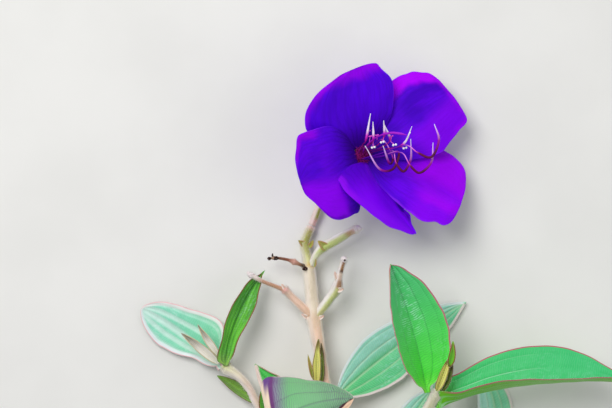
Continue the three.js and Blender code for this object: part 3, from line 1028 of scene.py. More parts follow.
class SmallLook(Enum):
    """The finishes of threads, hairs and other small pieces."""

    UPRIGHT = PlainFinish(
        "upright_stamen", (
            (0, "6a0884"), (0.36, "a00a72"), (0.56, "b808a0"), (0.64, "e840d8"), (0.72, "fff0ff"),
            (1, "ffffff"),
        ),
        "ff60e0", 0.12,
    )
    LOOPED = PlainFinish(
        "looped_stamen", (
            (0, "4a04a8"), (0.3, "7a0cb4"), (0.4, "ff90f8"), (0.47, "e048d0"), (0.52, "6a0040"),
            (0.72, "500038"), (0.82, "a010a0"), (0.92, "f0b0ff"), (1, "ffffff"),
        ),
        "8a0868", 0.12,
    )
    STYLE = PlainFinish("style", ((0, "8a0880"), (0.5, "a80cc0"), (1, "b020e0")), "c040e0", 0.15)
    BEAD = PlainFinish("stamen_bead", ((0, "ffffff"), (1, "ffffff")), "fff0fa", 0.2)
    PINK_BEAD = PlainFinish("pink_stamen_bead", ((0, "e040c8"), (1, "ff70e8")), "ffa0f4", 0.2)
    DRY_PALE = PlainFinish("dry_pale_end", ((0, "fff6f6"), (1, "f8ecec")), "d8bcb8", 0.3, 0.8, 0.8, 0.2)
    DRY_DARK = PlainFinish("dry_dark_end", ((0, "1c0e0a"), (1, "3a2018")), "6a4434", 0.5, 0.8, 0.7, 0.2)
    DISC = PlainFinish("disc", ((0, "6a0454"), (1, "90066c")), "b41488", 0.5, 0.8, 0.7, 0.3)
    DISC_HAIR = PlainFinish("disc_hair", ((0, "780464"), (1, "b81498")), "d040b8", 0.3, 0.6)
    CUP = PlainFinish("calyx", ((0, "8a9a4a"), (0.5, "9a7a50"), (1, "a8604a")), "c8a080", 0.4, 0.7, 0.8, 0.2)
    HAIR = PlainFinish("pale_hair", ((0, "efe4d6"), (1, "ffffff")), "f6ead8", 0.3, 0.5)
    PINK_HAIR = PlainFinish("pink_hair", ((0, "e8b8a0"), (1, "f8e4dc")), "f0d0c0", 0.3, 0.5)


def materials(*looks: Enum) -> list[bpy.types.Material]:
    """Build the materials of some finishes, in order."""
    return [look.value.material() for look in looks]


@dataclass
class Skin:
    """A closed mesh in the making, with the numbers that its finish reads at each point."""

    points: list[np.ndarray] = field(default_factory=list)
    reads: list[np.ndarray] = field(default_factory=list)
    faces: list[tuple[int, ...]] = field(default_factory=list)
    looks: list[int] = field(default_factory=list)
    count: int = 0

    def add(
        self, points: np.ndarray, faces: np.ndarray, reads: np.ndarray, ends: Sequence[Any] = (),
        look: int = 0,
    ) -> None:
        """Add one closed form.

        Args:
            points: Its points, in millimetres.
            faces: Its faces of one kind, as rows of point numbers.
            reads: A row of numbers for each point.
            ends: More faces, of another number of corners.
            look: Which of the piece's materials it wears.
        """
        rows = [tuple(row) for kind in (faces, ends) for row in np.asarray(kind).tolist()]
        if signed_volume(points, rows) < 0:
            rows = [row[::-1] for row in rows]
        self.faces.extend(tuple(i + self.count for i in row) for row in rows)
        self.looks.extend([look] * len(rows))
        self.points.append(points)
        self.reads.append(reads)
        self.count += len(points)

    def rings(self, rings: np.ndarray, reads: np.ndarray, look: int = 0) -> None:
        """Add a closed tube of rings, with a fan at each end.

        Args:
            rings: Points by ring and by place round it.
            reads: The numbers of each point, in the same order.
            look: Which of the piece's materials it wears.
        """
        count, sides = rings.shape[:2]
        index = np.arange(count * sides).reshape(count, sides)
        after = np.roll(index, -1, axis=1)
        quads = np.stack([index[:-1], after[:-1], after[1:], index[1:]], axis=-1).reshape(-1, 4)
        first, last = count * sides, count * sides + 1
        fans = [(first, b, a) for a, b in zip(index[0], after[0])]
        fans += [(last, a, b) for a, b in zip(index[-1], after[-1])]
        points = np.vstack([rings.reshape(-1, 3), rings[0].mean(0), rings[-1].mean(0)])
        flat = reads.reshape(-1, reads.shape[-1])
        self.add(points, quads, np.vstack([flat, reads[0].mean(0), reads[-1].mean(0)]), np.array(fans), look)

    def build(self, name: str, materials: Sequence[bpy.types.Material], slot: str, *nodes: str) -> None:
        """Make the object, set it on the sprig and log it.

        Args:
            name: The piece's name.
            materials: Its materials.
            slot: The record's material slot; not used.
            *nodes: The solids that it stands for.
        """
        reads = np.vstack(self.reads)
        mesh = bpy.data.meshes.new(name)
        mesh.from_pydata(to_frame(np.vstack(self.points)).tolist(), [], self.faces)
        corners = np.empty(len(mesh.loops), np.int32)
        mesh.loops.foreach_get("vertex_index", corners)
        mesh.uv_layers.new(name=MAP).data.foreach_set("uv", reads[corners, :2].astype(np.float32).ravel())
        for column, title in enumerate((ALONG, HALF, UNDER), start=2):
            values = mesh.attributes.new(title, "FLOAT", "POINT")
            values.data.foreach_set("value", reads[:, column].astype(np.float32))
        for material in materials:
            mesh.materials.append(material)
        mesh.polygons.foreach_set("material_index", self.looks)
        mesh.polygons.foreach_set("use_smooth", [True] * len(self.faces))
        mesh.update()
        piece = bpy.data.objects.new(name, mesh)
        bpy.context.scene.collection.objects.link(piece)
        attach(piece, BODY)
        if nodes:
            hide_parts(*nodes)
        log.info("%s: %d faces, in place of %s", name, len(self.faces), ", ".join(nodes) or "no solid")


def signed_volume(points: np.ndarray, rows: Sequence[Sequence[int]]) -> float:
    """Measure the volume inside a closed form.

    Args:
        points: Its points.
        rows: Its faces, as rows of point numbers.

    Returns:
        The volume, below zero if the faces look inwards.
    """
    total = 0.0
    middle = points.mean(0)
    for size in {len(row) for row in rows}:
        corners = points[np.array([row for row in rows if len(row) == size])] - middle
        for k in range(1, size - 1):
            total += float(np.einsum("ij,ij->", corners[:, 0], np.cross(corners[:, k], corners[:, k + 1])))
    return total


@dataclass
class Fuzz:
    """Fine hairs, each a slim closed spike."""

    thick: float = 0.09
    low: float = 0.7
    high: float = 1.5
    droop: float = 0.35

    def grow(
        self, skin: Skin, roots: np.ndarray, ways: np.ndarray, rng: np.random.Generator, look: int = 0
    ) -> None:
        """Grow one hair at each root.

        Args:
            skin: The mesh that takes the hairs.
            roots: Where they stand, in millimetres.
            ways: Which way each points.
            rng: Where the random lengths and tilts come from.
            look: Which of the piece's materials they wear.
        """
        count = len(roots)
        ways = unit(ways + rng.normal(0, self.droop, (count, 3)))
        sides = unit(np.cross(ways, rng.normal(0, 1, (count, 3))))
        others = np.cross(ways, sides)
        tips = roots + ways * rng.uniform(self.low, self.high, (count, 1))
        corners = [
            roots + (sides * math.cos(a) + others * math.sin(a)) * self.thick / 2
            for a in (0, 2 * math.pi / 3, 4 * math.pi / 3)
        ]
        points = np.stack([*corners, tips], axis=1).reshape(-1, 3)
        base = np.arange(count)[:, None] * 4
        faces = np.concatenate([base + np.array(f) for f in ((0, 1, 3), (1, 2, 3), (2, 0, 3), (2, 1, 0))])
        reads = np.zeros((count * 4, READS))
        reads[3::4, 0] = 1
        skin.add(points, faces, reads, (), look)


def tube(skin: Skin, places: Sequence[Place], sides: int, look: int = 0) -> None:
    """Add a closed round tube through places that each have a radius.

    Args:
        skin: The mesh that takes it.
        places: The places and radii.
        sides: Its number of sides.
        look: Which of the piece's materials it wears.
    """
    centres, ways, radii = string(places, 8)
    around, _ = spokes(*carry(ways, (0.1, 0.2, 1)), sides)
    rings = centres[:, None] + around * radii[:, None, None]
    skin.rings(rings, first_reads(rings, np.linspace(0, 1, len(centres))[:, None]), look)


def knob(
    skin: Skin, centre: np.ndarray, sizes: Point, rough: float, look: int = 0, rows: int = 16,
    sides: int = 18,
) -> np.ndarray:
    """Add a closed lump.

    Args:
        skin: The mesh that takes it.
        centre: Its middle, in millimetres.
        sizes: Its half sizes.
        rough: The height of its lumps, as a share.
        look: Which of the piece's materials it wears.
        rows: Its rings.
        sides: Its number of sides.

    Returns:
        Its points, ring by ring.
    """
    tall = np.linspace(0.06, math.pi - 0.06, rows)[:, None]
    turns = (np.arange(sides) / sides * 2 * math.pi)[None]
    ball = np.stack(
        [np.sin(tall) * np.cos(turns), np.sin(tall) * np.sin(turns), np.cos(tall) + 0 * turns], -1
    )
    lumps = Ripple(int(abs(centre[0]) * 9), 0.9, rough).at(ball[..., 0] + ball[..., 2], ball[..., 1])
    rings = centre + ball * np.array(sizes) * (1 + lumps[..., None])
    skin.rings(rings, first_reads(rings, tall / math.pi + 0 * turns), look)
    return rings


@dataclass
class Limb:
    """A stem or stalk through places that each have a radius."""

    name: str
    places: Sequence[Place]
    slot: str
    finish: BarkFinish
    angled: float = 0.06  # how square its section is
    steps: int = 9
    sides: int = 28
    flat_start: bool = False
    scars: tuple[int, ...] = ()  # which places have a raised ring
    hairs: float = 1.3  # for each square millimetre
    seed: int = 1
    hair_high: float = 1.4  # the length of the longest

    def path(self) -> tuple[np.ndarray, np.ndarray, np.ndarray]:
        """Walk the limb.

        Returns:
            The places, directions and radii.
        """
        centres, ways, radii = string(self.places, self.steps)
        if self.flat_start:
            ways[0] = (0, 1, 0)
        return centres, ways, radii

    def build(self) -> None:
        """Build the limb's skin and its hairs."""
        centres, ways, radii = self.path()
        along = trail(centres)
        for scar in self.scars:
            place = along[scar * self.steps]
            radii = radii + SCAR_HEIGHT * np.exp(-(((along - place) / SCAR_SPREAD) ** 2))
        around, turns = spokes(*carry(ways, (0, 0, 1)), self.sides)
        rough = Ripple(self.seed, 5, 0.03).at(along[:, None], 4 * np.sin(turns)[None])
        out = radii[:, None] * (0.97 + self.angled * np.cos(4 * turns)[None] + rough)
        rings = centres[:, None] + around * out[..., None]
        reads = first_reads(rings, np.linspace(0, 1, len(centres))[:, None])
        reads[..., 1] = turns[None] / (2 * math.pi)
        reads[..., 2] = along[:, None]
        reads[..., 3] = radii[:, None]
        skin = Skin()
        skin.rings(rings, reads)
        self.grow_hairs(skin, rings, around, ways)
        looks = [self.finish.material(), *materials(SmallLook.HAIR)]
        skin.build(f"{self.name}_bark", looks, self.slot, self.name)

    def grow_hairs(self, skin: Skin, rings: np.ndarray, around: np.ndarray, ways: np.ndarray) -> None:
        """Scatter hairs over the limb.

        Args:
            skin: The mesh that takes them.
            rings: The limb's points.
            around: The outward direction at each point.
            ways: The limb's direction at each ring.
        """
        rng = np.random.default_rng(self.seed)
        radius = float(np.mean(np.array(self.places)[:, 3]))
        count = int(self.hairs * trail(self.path()[0])[-1] * 2 * math.pi * radius)
        ring = rng.integers(1, len(rings) - 1, count)
        place = rng.integers(0, self.sides, count)
        share = rng.uniform(0, 1, (count, 1))
        roots = rings[ring, place] * (1 - share) + rings[np.minimum(ring + 1, len(rings) - 1), place] * share
        lean = around[ring, place] + ways[ring] * 0.35
        Fuzz(high=self.hair_high).grow(skin, roots - around[ring, place] * 0.1, lean, rng, 1)


@dataclass
class Blade:
    """A thin blade round a rib: leaf, young leaf, bract, petal or lobe."""

    name: str
    rib: Sequence[Point]  # the control points of its middle line
    width: float
    broad: float  # the share of the length where it is widest
    full: float  # how full its outline is
    left: Angles  # how steeply the left half rises at the rib and at the margin, in degrees
    right: Angles
    up: Point = (0, 0, 1)
    halves: tuple[float, float] = (1, 1)  # the shares of the two half widths
    stalk: float = 0.0  # the share of the length that its stalk takes
    foot: float = 2.4  # the least width near the foot
    twist: float = 0.0  # degrees that it turns about the rib by the tip
    thick: float = 0.5
    stalk_thick: float = 0.0
    steps: int = 200
    columns: int = 22
    tip: float = 0.2  # the least width near the tip
    crease: float = 0.05  # how softly the two halves meet
    eased: bool = False  # whether its rows draw together evenly towards the tip
    swells: Sequence[Change] = ()  # changes of the half widths
    shifts: Sequence[Change] = ()  # changes that move a margin alone
    sway: float = 0.0  # how far the tip bends to the right
    ragged: float = 0.1  # the height of the margins' small waves

    def outline(self, shares: np.ndarray) -> np.ndarray:
        """Read the outline.

        Args:
            shares: The shares of the rib to read it at.

        Returns:
            Half widths, in millimetres.
        """
        u = np.clip((shares - self.stalk) / (1 - self.stalk), 0, 1)
        rise, fall = self.full * self.broad, self.full * (1 - self.broad)
        swell = (u / self.broad) ** rise * ((1 - u) / (1 - self.broad)) ** fall
        least = np.where(shares < self.broad / 2, self.foot, self.tip) / 2
        return np.maximum(self.width * swell / 2, least)

    def change(self, changes: Sequence[Change], shares: np.ndarray, side: int) -> np.ndarray:
        """Add up the changes of one margin.

        Args:
            changes: The changes of both margins.
            shares: The shares of the rib to read them at.
            side: -1 for the left margin, 1 for the right one.

        Returns:
            Millimetres at each share.
        """
        total = np.zeros_like(shares)
        for which, place, amount, spread in changes:
            if which == side:
                total = total + amount * np.exp(-(((shares - place) / spread) ** 2))
        return total * smooth(shares, 0, self.stalk + 0.03)

    def edges(self, shares: np.ndarray, along: np.ndarray) -> tuple[np.ndarray, np.ndarray]:
        """Read both margins, with their swells and small waves.

        Args:
            shares: The shares of the rib to read them at.
            along: The same in millimetres.

        Returns:
            The left and right half widths.
        """
        half = self.outline(shares)
        wave = Ripple(len(self.name) + int(self.width * 7), 9, self.ragged)
        both = []
        for side, part in zip((-1, 1), self.halves):
            waves = wave.at(along, np.full_like(along, 40 * side)) * smooth(half, 1, 4)
            reach = half * part + self.change(self.swells, shares, side) + waves
            both.append(np.maximum(reach, self.tip / 2))
        return both[0], both[1]

    def profile(self, v: np.ndarray) -> tuple[np.ndarray, np.ndarray, np.ndarray]:
        """The cross-section of a blade whose half width is 1.

        Args:
            v: Places across, from -1 at the left margin to 1 at the right one.

        Returns:
            How far out, how far up and the slope there.
        """
        fine = np.linspace(-1, 1, 2 * CREASE_SAMPLES + 1)
        left = -np.radians(self.left[0] + (self.left[1] - self.left[0]) * np.abs(fine))
        right = np.radians(self.right[0] + (self.right[1] - self.right[0]) * np.abs(fine))
        share = smooth(fine, -self.crease, self.crease)
        slope = left * (1 - share) + right * share
        step = fine[1] - fine[0]
        out, rise = np.cumsum(np.cos(slope)) * step, np.cumsum(np.sin(slope)) * step
        out, rise = out - out[CREASE_SAMPLES], rise - rise[CREASE_SAMPLES]
        return np.interp(v, fine, out), np.interp(v, fine, rise), np.interp(v, fine, slope)

    def across(self) -> np.ndarray:
        """Places across the blade, a little closer together at the margins."""
        even = np.linspace(-1, 1, 2 * self.columns + 1)
        return np.sign(even) * (1 - (1 - np.abs(even)) ** COLUMN_CROWDING)

    def skin(self, relief: Relief, turn: Mover = np.asarray) -> Skin:
        """Build the blade's closed skin.

        Args:
            relief: Gives the surface's height, in millimetres.
            turn: Moves points from the blade's own frame to the drawing frame.

        Returns:
            The skin.
        """
        steps = np.linspace(0, 1, self.steps + 1)
        shares = np.sin(steps * math.pi / 2) if self.eased else 1 - (1 - steps) ** ROW_CROWDING
        at, ahead, length = bezier(self.rib, shares)
        side, top = carry(ahead, self.up)
        spin = -np.radians(self.twist) * shares**2
        cos, sin = np.cos(spin)[:, None], np.sin(spin)[:, None]
        side, top = side * cos - top * sin, top * cos + side * sin
        v = self.across()
        left, right = self.edges(shares, shares * length)
        half = (left + right) / 2
        on_left = v[None] < 0
        reach = np.where(on_left, left[:, None], right[:, None])
        out, rise, slope = self.profile(v)
        shifts = [side_way * self.change(self.shifts, shares, side_way)[:, None] for side_way in (-1, 1)]
        out = reach * out + np.where(on_left, *shifts) * v[None] ** 2 + self.sway * (shares**3)[:, None]
        base = at[:, None] + side[:, None] * out[..., None] + top[:, None] * (reach * rise)[..., None]
        cos, sin = np.cos(slope)[None, :, None], np.sin(slope)[None, :, None]
        normal, outward = top[:, None] * cos - side[:, None] * sin, side[:, None] * cos + top[:, None] * sin
        along = np.broadcast_to((shares * length)[:, None], reach.shape)
        height = relief(shares[:, None], v[None], along, reach * v[None])
        base = base + normal * height[..., None]
        more = max(self.stalk_thick, self.thick) - self.thick
        thick = self.thick + more * smooth(-shares, -self.stalk * 1.8 - 0.02, 0)
        room = np.minimum(1, half / (self.thick * 0.7))
        deep = (thick * room)[:, None] * (1 - MARGIN_THIN * np.abs(v[None]) ** 3)
        upper, lower = base + normal * (deep / 2)[..., None], base - normal * (deep / 2)[..., None]
        brims = [
            base[:, k] + outward[:, k] * sign * (deep[:, k] * BRIM)[:, None]
            for k, sign in ((-1, 1), (0, -1))
        ]
        rings = np.concatenate([upper, brims[0][:, None], lower[:, ::-1], brims[1][:, None]], axis=1)
        reads = first_reads(rings, shares[:, None])
        round_v = np.concatenate([v, [1], v[::-1], [-1]])
        reads[..., 1] = round_v[None]
        reads[..., 2] = along[:, :1]
        reads[..., 3] = np.where(round_v[None] < 0, left[:, None], right[:, None])
        reads[..., 4] = np.concatenate([np.zeros(len(v)), [0.5], np.ones(len(v)), [0.5]])[None]
        made = Skin()
        made.rings(turn(rings), reads)
        self.margin = (turn(base), outward, normal)
        return made

    def fringe(self, skin: Skin, every: float, seed: int) -> None:
        """Grow hairs along both margins.

        Args:
            skin: The mesh that takes them.
            every: Their mean distance, in millimetres.
            seed: Where the random places come from.
        """
        rng = np.random.default_rng(seed)
        base, outward, normal = self.margin
        fuzz = Fuzz(thick=0.08, low=0.4, high=1.1)
        for k, sign in ((-1, 1), (0, -1)):
            line = base[:, k]
            lengths = trail(line)
            count = int(lengths[-1] / every)
            spots = rng.uniform(0.03, 0.98, count) * lengths[-1]
            roots = np.stack([np.interp(spots, lengths, line[:, i]) for i in range(3)], axis=1)
            index = np.clip(np.searchsorted(lengths, spots), 0, len(line) - 1)
            fuzz.grow(skin, roots, outward[index, k] * sign + normal[index, k] * 0.4, rng, 1)


def leaf_relief(seed: int, wave: float) -> Relief:
    """The relief of a ribbed leaf.

    Args:
        seed: Where its random waves come from.
        wave: The height of its large waves, in millimetres.

    Returns:
        A function of the place on the blade.
    """
    broad, fine = Ripple(seed, 34, wave), Ripple(seed + 50, 9, 0.1)

    def height(u: np.ndarray, v: np.ndarray, along: np.ndarray, across: np.ndarray) -> np.ndarray:
        """Read the height.

        Args:
            u: Shares of the length.
            v: Shares of the half width.
            along: Millimetres along.
            across: Millimetres across.

        Returns:
            Millimetres.
        """
        share = np.abs(v)
        half = np.abs(across) / np.maximum(share, 1e-6)
        half = np.where(share > 1e-6, half, half[:, :1])
        total = broad.at(along, across) * share + fine.at(along, across)
        for vein in LEAF_VEINS:
            groove = np.exp(-(((share - vein.place) * half / vein.wide) ** 2))
            total = total - vein.deep * groove * smooth(half, 1, 5)
        rung = (along - LADDER_SLANT * np.abs(across)) / LADDER_STEP
        pillow = np.abs(np.sin(math.pi * rung)) ** 0.7
        total = total + 0.07 * pillow * smooth(half, 3, 8) * smooth(1 - share, 0, 0.15)
        return total * smooth(u, 0.0, 0.12)

    return height


@dataclass
class Leaf:
    """One leaf with its finish."""

    blade: Blade
    look: LeafLook
    slot: str
    seed: int
    wave: float = 0.5
    fringe: float = 0.35

    def build(self) -> None:
        """Build the leaf and its fringe of hairs."""
        skin = self.blade.skin(leaf_relief(self.seed, self.wave))
        self.blade.fringe(skin, self.fringe, self.seed)
        looks = materials(self.look, SmallLook.HAIR)
        skin.build(f"{self.blade.name}_blade", looks, self.slot, self.blade.name)


MAIN_TINTS = (
    (0, "b89468"), (2, "d8b48c"), (4, "fccfb8"), (5.4, "fcd4bc"), (5.8, "fcd8bc"), (6.05, "fcdcc0"),
    (6.5, "f4e4cc"), (7.9, "efe0c4"), (8.1, "e0c078"), (8.6, "dcdc98"), (10.2, "a8ac48"), (10.7, "b0a860"),
    (11, "f0c8c0"),
)
MAIN_STOPS = tuple((stretch / MAIN_TINTS[-1][0], tint) for stretch, tint in MAIN_TINTS)
LIMBS = (
    Limb(
        "stem_main", [
            (18.6, -176.8, 3.4, 3.4), (17.2, -152, 7.5, 3.2), (14.2, -129.3, 12, 3.7), (12, -111, 13, 2.9),
            (9.4, -91.4, 13, 3.4), (7.1, -73.7, 11.6, 2.9), (3.8, -54.4, 9.8, 3.6), (2.9, -45, 8.6, 3.2),
            (1.4, -30.4, 6.3, 3.1), (0.4, -25, 5.2, 2.2), (-0.6, -18.6, 4, 2.4), (2.4, -10.8, 2.6, 2.2),
        ],
        "stem", BarkFinish("main_bark", MAIN_STOPS, "fbf4ee", 0.45, 0.5, "fbf8f2", 0.65), flat_start=True,
        scars=(2, 4, 6, 8, 10), hairs=1.4, seed=3,
    ),
    Limb(
        "pedicel", [
            (2.8, -10, 2.6, 1.9), (7, 0.5, 3.8, 1.7), (13.5, 13.5, 6.6, 1.6), (18.2, 19.3, 8.5, 1.6),
            (20, 20.6, 10.9, 1.5),
        ],
        "green_stem",
        BarkFinish(
            "pedicel_bark", ((0, "f0c8c0"), (0.06, "e8b0a8"), (0.1, "a8ac40"), (1, "98a038")), "f8e0dc", 0.9,
            0.55, "f8e8e4", 0.75,
        ),
        hairs=1.6, seed=4,
    ),
    Limb(
        "shoot_right", [
            (15, -128.6, 12.5, 2.6), (28, -121.5, 14.6, 2.4), (40.4, -113.4, 17, 2.8), (53, -100.5, 22, 2.1),
            (60.2, -88.8, 26, 2.5), (61, -86.4, 26.9, 1.8),
        ],
        "stem",
        BarkFinish(
            "right_bark", ((0, "d8b48c"), (0.5, "c8c890"), (0.8, "dfe0c0"), (1, "e8e8d0")), "fff8f0", 0.5,
            0.5,
        ),
        scars=(2, 4), hairs=4.0, seed=5, hair_high=1.8,
    ),
    Limb(
        "shoot_left", [
            (13.5, -128.6, 12.3, 2.5), (-3, -114, 11, 2.2), (-20.8, -98, 10, 2), (-27, -87.1, 9, 1.9),
            (-31.4, -82, 8.6, 2), (-37.4, -78, 8.2, 2.7), (-39.6, -76.4, 8.4, 1.9),
        ],
        "stem",
        BarkFinish(
            "left_bark", ((0, "d8b48c"), (0.5, "f4dcd0"), (0.75, "f4ecd0"), (0.9, "e8ecb0"), (1, "d8e084")),
            "fff6f2", 0.6, 0.5, "fffaf6", 0.6,
        ),
        scars=(2, 5), hairs=2.2, seed=6,
    ),
    Limb(
        "spur_left_lower", [
            (2.4, -52.6, 10.4, 2.2), (-7.4, -43.2, 11, 1.8), (-10, -40.6, 12, 2), (-12.4, -39.6, 12.2, 1.1),
            (-20.8, -36.3, 12.5, 0.95), (-25.9, -33.5, 12.5, 1.2),
        ],
        "pink_stem",
        BarkFinish(
            "spur_one_bark", (
                (0, "f0c8ac"), (0.3, "f4d0bc"), (0.42, "ecb4ac"), (0.56, "cc9878"), (0.78, "bc8c70"),
                (0.9, "ecdcd4"), (1, "f0e8e4"),
            ),
            "fbe8e0", 0.5, 0.4, "fbf0ea", 0.7,
        ),
        scars=(2,), hairs=1.6, seed=7,
    ),
    Limb(
        "spur_right_lower", [
            (5.2, -52.6, 10.4, 2.1), (10.5, -45.6, 12, 2.2), (14.4, -39.8, 13, 2.5), (15.8, -33.6, 14, 1.5),
            (17.2, -28.2, 14, 1.2), (17.9, -26.2, 14, 1.4),
        ],
        "green_stem",
        BarkFinish(
            "spur_two_bark", (
                (0, "e0d8a0"), (0.2, "ccd484"), (0.4, "d4d490"), (0.45, "b08060"), (0.51, "b4886c"),
                (0.56, "e8ccbc"), (0.63, "ecd4c4"), (0.67, "50281e"), (0.71, "a87850"), (0.85, "98643c"),
                (0.91, "e8dce4"), (0.97, "f0e4e4"), (1, "4a2c30"),
            ),
            "fbf6f2", 0.9, 0.5, "fbf4f4", 0.8,
        ),
        scars=(2,), hairs=2.4, seed=8,
    ),
    Limb(
        "spur_left_upper", [
            (0.2, -30, 7.2, 1.4), (-3, -28.6, 8.4, 0.9), (-5.7, -27.4, 9, 1.4), (-8.6, -26.4, 9.5, 0.8),
            (-13.6, -25.5, 10, 0.7), (-15, -25.5, 10, 0.7), (-17.4, -25.7, 10, 0.5),
        ],
        "brown_spur",
        BarkFinish(
            "spur_three_bark", (
                (0, "3a2018"), (0.12, "4a2c20"), (0.2, "a87458"), (0.34, "d8a090"), (0.5, "8a4c34"),
                (0.66, "6a3828"), (0.8, "40221a"), (0.88, "b89078"), (1, "7a5444"),
            ),
            "c8a08c", 0.4, 0.4,
        ),
        scars=(2, 5), hairs=0.8, seed=9,
    ),
    Limb(
        "spur_right_upper", [
            (2.6, -29, 7.6, 1.5), (5, -24, 8.6, 1.8), (8.4, -20.4, 9.6, 2.3), (14, -17.2, 11, 2.3),
            (21.5, -12.8, 12, 1.9), (24, -11.8, 12, 2),
        ],
        "green_stem",
        BarkFinish(
            "spur_four_bark", (
                (0, "f0ecd8"), (0.2, "e0e4b8"), (0.36, "bccc68"), (0.5, "c8d880"), (0.7, "d4dc98"),
                (0.76, "d0a880"), (0.86, "e4c4b4"), (0.92, "f8ecec"), (1, "f8eeee"),
            ),
            "fbf4f0", 0.85, 0.45, "fbf6f6", 0.8,
        ),
        scars=(2,), hairs=2.2, seed=10,
    ),
)

# Each bract's rib, width and finish
BRACTS = (
    ([(-0.2, -19.6, 4.6), (-2, -18.6, 6.4), (-3.7, -17.2, 6.6)], 3.4, 0),
    ([(1.6, -20.4, 6), (2.8, -18.8, 7), (3.4, -17.2, 7)], 2.2, 0),
    ([(9.6, -20.8, 10.8), (7.6, -19, 12.4), (5.6, -17.4, 12)], 4.2, 0),
    ([(15, -40.6, 14.6), (16.4, -40.4, 15.4), (17.8, -39.8, 15)], 2.6, 1),
    ([(14.6, -36, 14.4), (13.8, -34, 15.2), (13.6, -31.6, 15)], 2, 1),
    ([(3.6, -29.4, 8), (4.4, -27, 9.6), (4.2, -25, 9.6)], 2.2, 0),
    ([(-9.6, -40, 13), (-10.6, -38.8, 14), (-11.6, -37.6, 13.8)], 2.2, 1),
    ([(0.6, -53.6, 11), (-1, -53, 12.4), (-2.2, -51.8, 12.4)], 2.4, 1),
    ([(6.4, -53.8, 11.4), (7.6, -53.4, 12.6), (8.6, -52.6, 12.4)], 2.2, 1),
    ([(4, -82.4, 15), (1.6, -76, 16.6), (0.9, -70.6, 16)], 2.4, 0),
)

# Each dry lump's middle, half sizes, roughness, finish and hairs
DRY_ENDS = (
    ((-25.9, -33.5, 12.8), (1.5, 1.3, 1.3), 0.2, 0, 90),
    ((-27.2, -32.8, 12.6), (0.8, 0.9, 0.8), 0.2, 0, 40),
    ((17.9, -26, 14.4), (1.5, 1.5, 1.3), 0.15, 0, 110),
    ((18.2, -26.4, 15.5), (0.5, 0.5, 0.5), 0.1, 1, 0),
    ((-14.2, -25.6, 10.6), (0.95, 0.9, 0.9), 0.3, 1, 8),
    ((-17.4, -25.8, 10.2), (0.8, 0.75, 0.8), 0.3, 1, 8),
    ((-15.8, -24.2, 10.8), (0.35, 0.7, 0.4), 0.3, 1, 4),
    ((-0.4, -30.6, 9.4), (1, 0.95, 0.9), 0.3, 1, 8),
    ((24.2, -11.7, 12.6), (2, 1.8, 1.7), 0.15, 0, 130),
)


@dataclass
class Stems:
    """The main stem, its side shoots, the bloom's stalk and the four spent flower stalks."""

    end_seed: int = 77

    def build(self) -> None:
        """Build every stem, the small bracts at the joints and the dry ends of the stalks."""
        for limb in LIMBS:
            limb.build()
        self.build_bracts()
        self.build_ends()

    def build_bracts(self) -> None:
        """Build the pointed bracts and the raised collars at the joints."""
        skin = Skin()
        for number, (rib, width, look) in enumerate(BRACTS):
            blade = Blade(
                "bract", rib, width, 0.3, 1.4, (20, 40), (20, 40), foot=width * 0.7, steps=24, columns=8
            )
            join(skin, blade.skin(leaf_relief(40 + number, 0.05)), look)
        skin.build("joint_bracts", materials(LeafLook.BRACT, LeafLook.PALE_BRACT), "green_stem")

    def build_ends(self) -> None:
        """Build the dry, hairy ends of the four spent stalks."""
        skin = Skin()
        rng = np.random.default_rng(self.end_seed)
        for at, sizes, rough, look, hairs in DRY_ENDS:
            rings = knob(skin, np.array(at), sizes, rough, look)
            picks = rng.integers(0, rings.shape[0] * rings.shape[1], hairs)
            roots = rings.reshape(-1, 3)[picks]
            Fuzz(thick=0.12, low=0.5, high=1.3).grow(skin, roots, roots - np.array(at), rng, 2)
        looks = materials(SmallLook.DRY_PALE, SmallLook.DRY_DARK, SmallLook.HAIR)
        skin.build("stalk_ends", looks, "brown_spur")


def join(skin: Skin, part: Skin, look: int = 0) -> None:
    """Add the forms of one skin to another.

    Args:
        skin: The mesh that takes them.
        part: The skin to add.
        look: Which of the piece's materials they wear.
    """
    skin.faces.extend(tuple(i + skin.count for i in face) for face in part.faces)
    skin.looks.extend([look] * len(part.faces))
    skin.points.extend(part.points)
    skin.reads.extend(part.reads)
    skin.count += part.count


